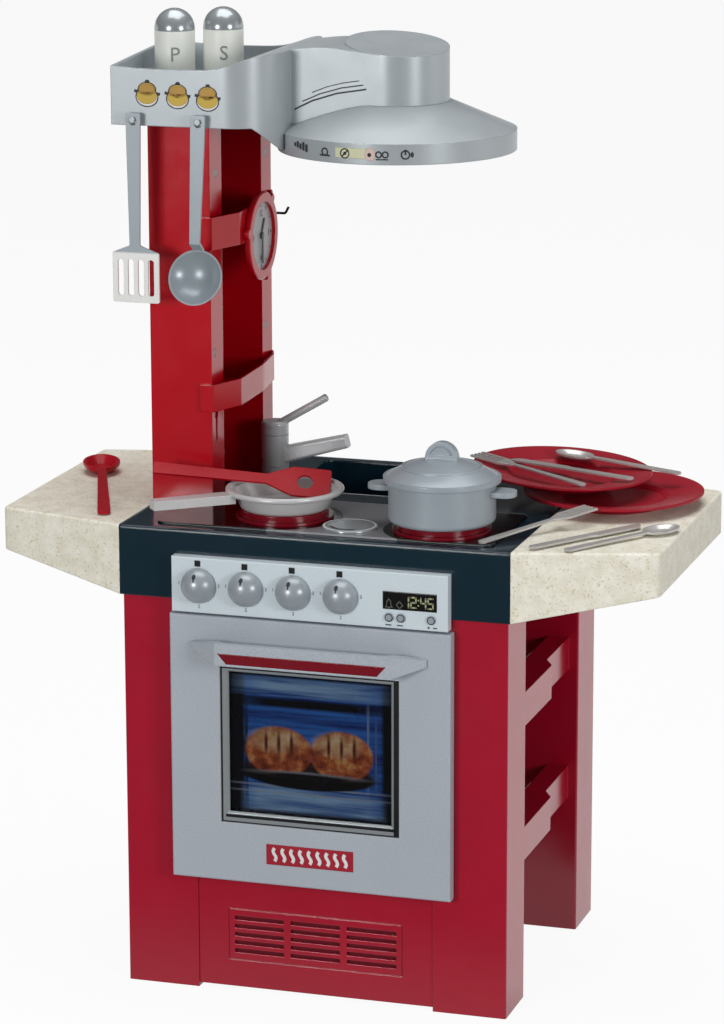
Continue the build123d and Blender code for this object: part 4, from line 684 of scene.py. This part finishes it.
FIRST_LIFT = 0.12
LAYER_LIFT = 0.1
POT_PLACES = ((-184.7, 880.6), (-153.5, 879.6), (-122.9, 878.4))
POT_HANDLES = bar((-13, 3.2), (-9.8, 2.4), 3) + bar((9.8, 0.8), (13.2, 0.2), 3)
POT_HANDLES += oval(0.4, 12.2, 2.4, 1.9)
POT_LAYERS = (
    ("edge", "print_dark", POT_HANDLES + oval(0, -2.6, 11.8, 9.8) + oval(0, 4.6, 9.6, 7.4)),
    ("rim", "print_light", oval(0, -2.6, 10.7, 8.7)),
    ("gold", "print_gold", oval(0, -1.6, 10.4, 7.9) + oval(0, 5, 8.5, 6.1)),
    ("lid", "print_amber", oval(0, 5, 8.2, 5.2) + slab(-8.6, 0.6, 8.6, 2.2)),
)
for step, (layer, look, shapes) in enumerate(POT_LAYERS):
    row = []
    for across, height in POT_PLACES:
        row += moved(shapes, across, height)
    printed(f"tray_pots_{layer}", row, on_front, "hood_shell", look, "kitchen",
            FIRST_LIFT + step * LAYER_LIFT)

arm_lines = ribbon([(-58, 862), (-40, 871), (-15, 879), (15, 884)], 1.6)
arm_lines += ribbon([(-50, 870), (-32, 878), (-10, 884.5), (12, 888)], 1.2)
arm_lines += ribbon([(-40, 879), (-25, 885), (-8, 889.5), (8, 892)], 0.9)
printed("arm_lines", arm_lines, on_front, "hood_shell", "print_dark", "kitchen")

rim = around(31, 179.5, 117)
steps = []
for part in range(5):
    steps += slab(-84 + part * 4.6, 832 - part * 0.9, -80.6 + part * 4.6, 835.6 + (part % 2) * 1.6)
SIGN_HEIGHT = 831
lamp = moved(shade_ring(0, 0, 4, 2.6) + bar((-6, -3.4), (6, -3.4), 1.6), -39.8, SIGN_HEIGHT)
fan = moved(shade_ring(0, 0, 5, 3.8) + oval(0, 0, 1.6, 1.6) + bar((-3, -3), (3, 3), 1.4), -17.4, SIGN_HEIGHT)
flame = shade_ring(-3.2, 0, 3.4, 2) + shade_ring(3.2, 0, 3.4, 2) + bar((-6, -4.6), (6, -4.6), 1.2)
flame = moved(flame, 19.6, SIGN_HEIGHT)
switch = moved(shade_ring(0, 0, 4.6, 3.2) + bar((0, 0), (0, 5), 1.6) + oval(6.4, 0, 1.5, 2.6), 42, SIGN_HEIGHT)
printed("rim_wash", slab(-28, 826.5, 4, 836.5), rim, "hood_canopy", "print_yellow", "kitchen",
        0.1, 3)
printed("rim_lamp_halo", oval(8, SIGN_HEIGHT, 5.4, 6.4), rim, "hood_canopy", "print_rose", "kitchen",
        0.14, 1)
printed("rim_lamp", oval(7.4, 830.6, 1.9, 2), rim, "hood_canopy", "print_black", "kitchen",
        0.22)
printed("rim_signs", steps + lamp + fan + flame + switch, rim, "hood_canopy", "print_dark", "kitchen",
        0.22, 1)


# Clock marks, the medallion's painted highlight ring and painted shade arc, and the letters on the shakers

CLOCK_DEPTH = 182
CLOCK_HEIGHT = 727
MARK_START = 28.5
MARK_STOP = 32
HOUR_SIZE = 6.5

hours = []
middle = Vector((CLOCK_DEPTH, CLOCK_HEIGHT))
for step in range(12):
    turn = math.radians(30 * step)
    out = Vector((math.sin(turn), math.cos(turn)))
    width = 1.6 if step % 3 == 0 else 1.0
    hours += bar(tuple(middle + out * MARK_START), tuple(middle + out * MARK_STOP), width)
for text, across, up in (("12", 0, 22), ("3", 23, 0), ("6", 0, -22), ("9", -23, 0)):
    hours += letters(text, CLOCK_DEPTH + across, CLOCK_HEIGHT + up, HOUR_SIZE)
printed("clock_marks", hours, on_right, "clock_dial", "print_dark", "kitchen")

MEDALLION = (24, 43)
# A light ring and a dark arc on the lower left give the medallion a raised look: painted highlight and
# painted shade.
printed("medallion_highlight_ring", shade_ring(*MEDALLION, 26.2, 24.2), on_top, "hob_medallion", "print_light", "kitchen")
printed("medallion_shade_arc", shade_ring(*MEDALLION, 20, 17.4, 205, 300), on_top, "hob_medallion", "print_black",
        "kitchen")

for shaker, letter in (("salt", "S"), ("pepper", "P")):
    near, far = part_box(f"{shaker}_shaker")
    middle_across = (near[0] + far[0]) / 2 / MM
    middle_depth = ((near[1] + far[1]) / 2 - LEG_FRONT) / MM
    printed(f"{shaker}_letter", letters(letter, 7, 908, 14), around(middle_across, middle_depth, 20),
            f"{shaker}_shaker", "print_soft", shaker, 0.15, 1)


# Floor, lights and camera

WHITE = (1.0, 1.0, 1.0, 1.0)
BACKDROP = (0.945, 0.945, 0.945, 1.0)
ROOM_LIGHT = (0.17, 0.17, 0.172, 1.0)
FLOOR_HALF = 30.0
FLOOR_SEEN = (0.97, 0.97, 0.97, 1.0)
FLOOR_GLOW = 0.93


def ray_kinds(tree):
    """The light path's camera, glossy and transmission rays as sockets."""
    path = tree.nodes.new("ShaderNodeLightPath")
    return tuple(path.outputs[f"Is {kind} Ray"] for kind in ("Camera", "Glossy", "Transmission"))


def add_floor():
    """A white floor that keeps a faint shadow. Reflections see it dark well in front of the part."""
    mesh = bpy.data.meshes.new("floor")
    half = FLOOR_HALF
    corners = [(-half, -half, 0), (half, -half, 0), (half, half, 0), (-half, half, 0)]
    mesh.from_pydata(corners, [], [(0, 1, 2, 3)])
    floor = bpy.data.objects.new("floor", mesh)
    bpy.context.scene.collection.objects.link(floor)
    material, tree, shader, where = start_material("floor")
    camera, glossy, transmitted = ray_kinds(tree)
    patches = noise(tree, where, 1.5, 2.0)
    grey = ramp(tree, patches, [(0.3, (0.49, 0.49, 0.49, 1)), (0.7, (0.51, 0.51, 0.51, 1))])
    tree.links.new(blend_colours(tree, camera, grey, FLOOR_SEEN), shader.inputs["Base Color"])
    shader.inputs["Roughness"].default_value = 0.9
    shader.inputs["Specular IOR Level"].default_value = 0.0
    split = tree.nodes.new("ShaderNodeSeparateXYZ")
    tree.links.new(where, split.inputs["Vector"])
    nearness = remap(tree, split.outputs["Y"], -0.4, -0.05, 0.0, 1.0)
    reflected = ramp(tree, nearness, [(0.0, (0.1, 0.1, 0.105, 1)), (1.0, WHITE)])
    glow = tree.nodes.new("ShaderNodeEmission")
    tree.links.new(blend_colours(tree, glossy, WHITE, reflected), glow.inputs["Color"])
    seen = larger_of(tree, larger_of(tree, camera, glossy), transmitted)
    mixed = tree.nodes.new("ShaderNodeMixShader")
    tree.links.new(remap(tree, seen, 0.0, 1.0, 0.0, FLOOR_GLOW), mixed.inputs["Fac"])
    tree.links.new(shader.outputs["BSDF"], mixed.inputs[1])
    tree.links.new(glow.outputs["Emission"], mixed.inputs[2])
    tree.links.new(mixed.outputs["Shader"], tree.nodes["Material Output"].inputs["Surface"])
    material.cycles.emission_sampling = "NONE"
    mesh.materials.append(material)


def add_light(name, place, target, size, power):
    """A soft square light aimed at a point."""
    data = bpy.data.lights.new(name, "AREA")
    data.size = size
    data.energy = power
    light = bpy.data.objects.new(name, data)
    light.location = place
    light.rotation_mode = "QUATERNION"
    light.rotation_quaternion = (Vector(target) - Vector(place)).to_track_quat("-Z", "Y")
    light.visible_camera = False
    bpy.context.scene.collection.objects.link(light)


def add_world():
    """Plain studio light. Reflections see a dark room, white low down behind the part and grey overhead."""
    world = bpy.data.worlds.new("studio")
    bpy.context.scene.world = world
    world.use_nodes = True
    world.cycles.sampling_method = "NONE"
    tree = world.node_tree
    background = tree.nodes["Background"]
    where = tree.nodes.new("ShaderNodeTexCoord").outputs["Generated"]
    split = tree.nodes.new("ShaderNodeSeparateXYZ")
    tree.links.new(where, split.inputs["Vector"])
    dark = (0.035, 0.035, 0.035, 1.0)
    wall = (0.1, 0.1, 0.1, 1.0)
    near_wall = (0.07, 0.07, 0.075, 1.0)
    high = (0.3, 0.3, 0.3, 1.0)
    behind = ramp(tree, split.outputs["Z"], [(0.05, WHITE), (0.12, dark), (0.5, wall), (0.9, high)])
    in_front = ramp(tree, split.outputs["Z"], [(0.5, near_wall), (0.9, high)])
    sky = blend_colours(tree, remap(tree, split.outputs["Y"], -0.1, 0.1, 0.0, 1.0), in_front, behind)
    camera, glossy, transmitted = ray_kinds(tree)
    colour = blend_colours(tree, glossy, ROOM_LIGHT, sky)
    seen = larger_of(tree, camera, transmitted)
    tree.links.new(blend_colours(tree, seen, colour, BACKDROP), background.inputs["Color"])


CAMERA_PLACE = (1.14718, -3.63982, 1.37441)
CAMERA_FORWARD = (-0.29177558, 0.9276102, -0.23325165)
CAMERA_RIGHT = (0.95410765, 0.29945242, -0.00261603)
CAMERA_LENS = 138.66
CAMERA_FILM = 36.0


def add_camera():
    """The photograph's viewpoint, fitted to the legs, worktop and wings."""
    data = bpy.data.cameras.new("camera")
    data.lens = CAMERA_LENS
    data.sensor_width = CAMERA_FILM
    data.clip_start = 0.05
    data.clip_end = 100.0
    camera = bpy.data.objects.new("camera", data)
    forward = Vector(CAMERA_FORWARD).normalized()
    right = Vector(CAMERA_RIGHT).normalized()
    up = right.cross(forward).normalized()
    turn = Matrix((right, up, -forward)).transposed().to_4x4()
    camera.matrix_world = Matrix.Translation(CAMERA_PLACE) @ turn
    bpy.context.scene.collection.objects.link(camera)
    bpy.context.scene.camera = camera


PART_MIDDLE = (0, 0, 0.5)
BELOW_MIDDLE = (0, 0, 0.4)
FLASH_SIZE = 0.9

add_floor()
add_world()
add_light("flash_left", (-1.1, -3.6, 1.15), PART_MIDDLE, FLASH_SIZE, 52)
add_light("flash_right", (2.9, -1.9, 1.15), PART_MIDDLE, FLASH_SIZE, 39)
add_light("side_panel", (2.9, 0.9, 1.3), PART_MIDDLE, 1.6, 5)
add_light("ceiling", (0.0, 0.2, 3.2), BELOW_MIDDLE, 2.5, 62)
add_camera()
bpy.context.scene.view_settings.view_transform = "Standard"
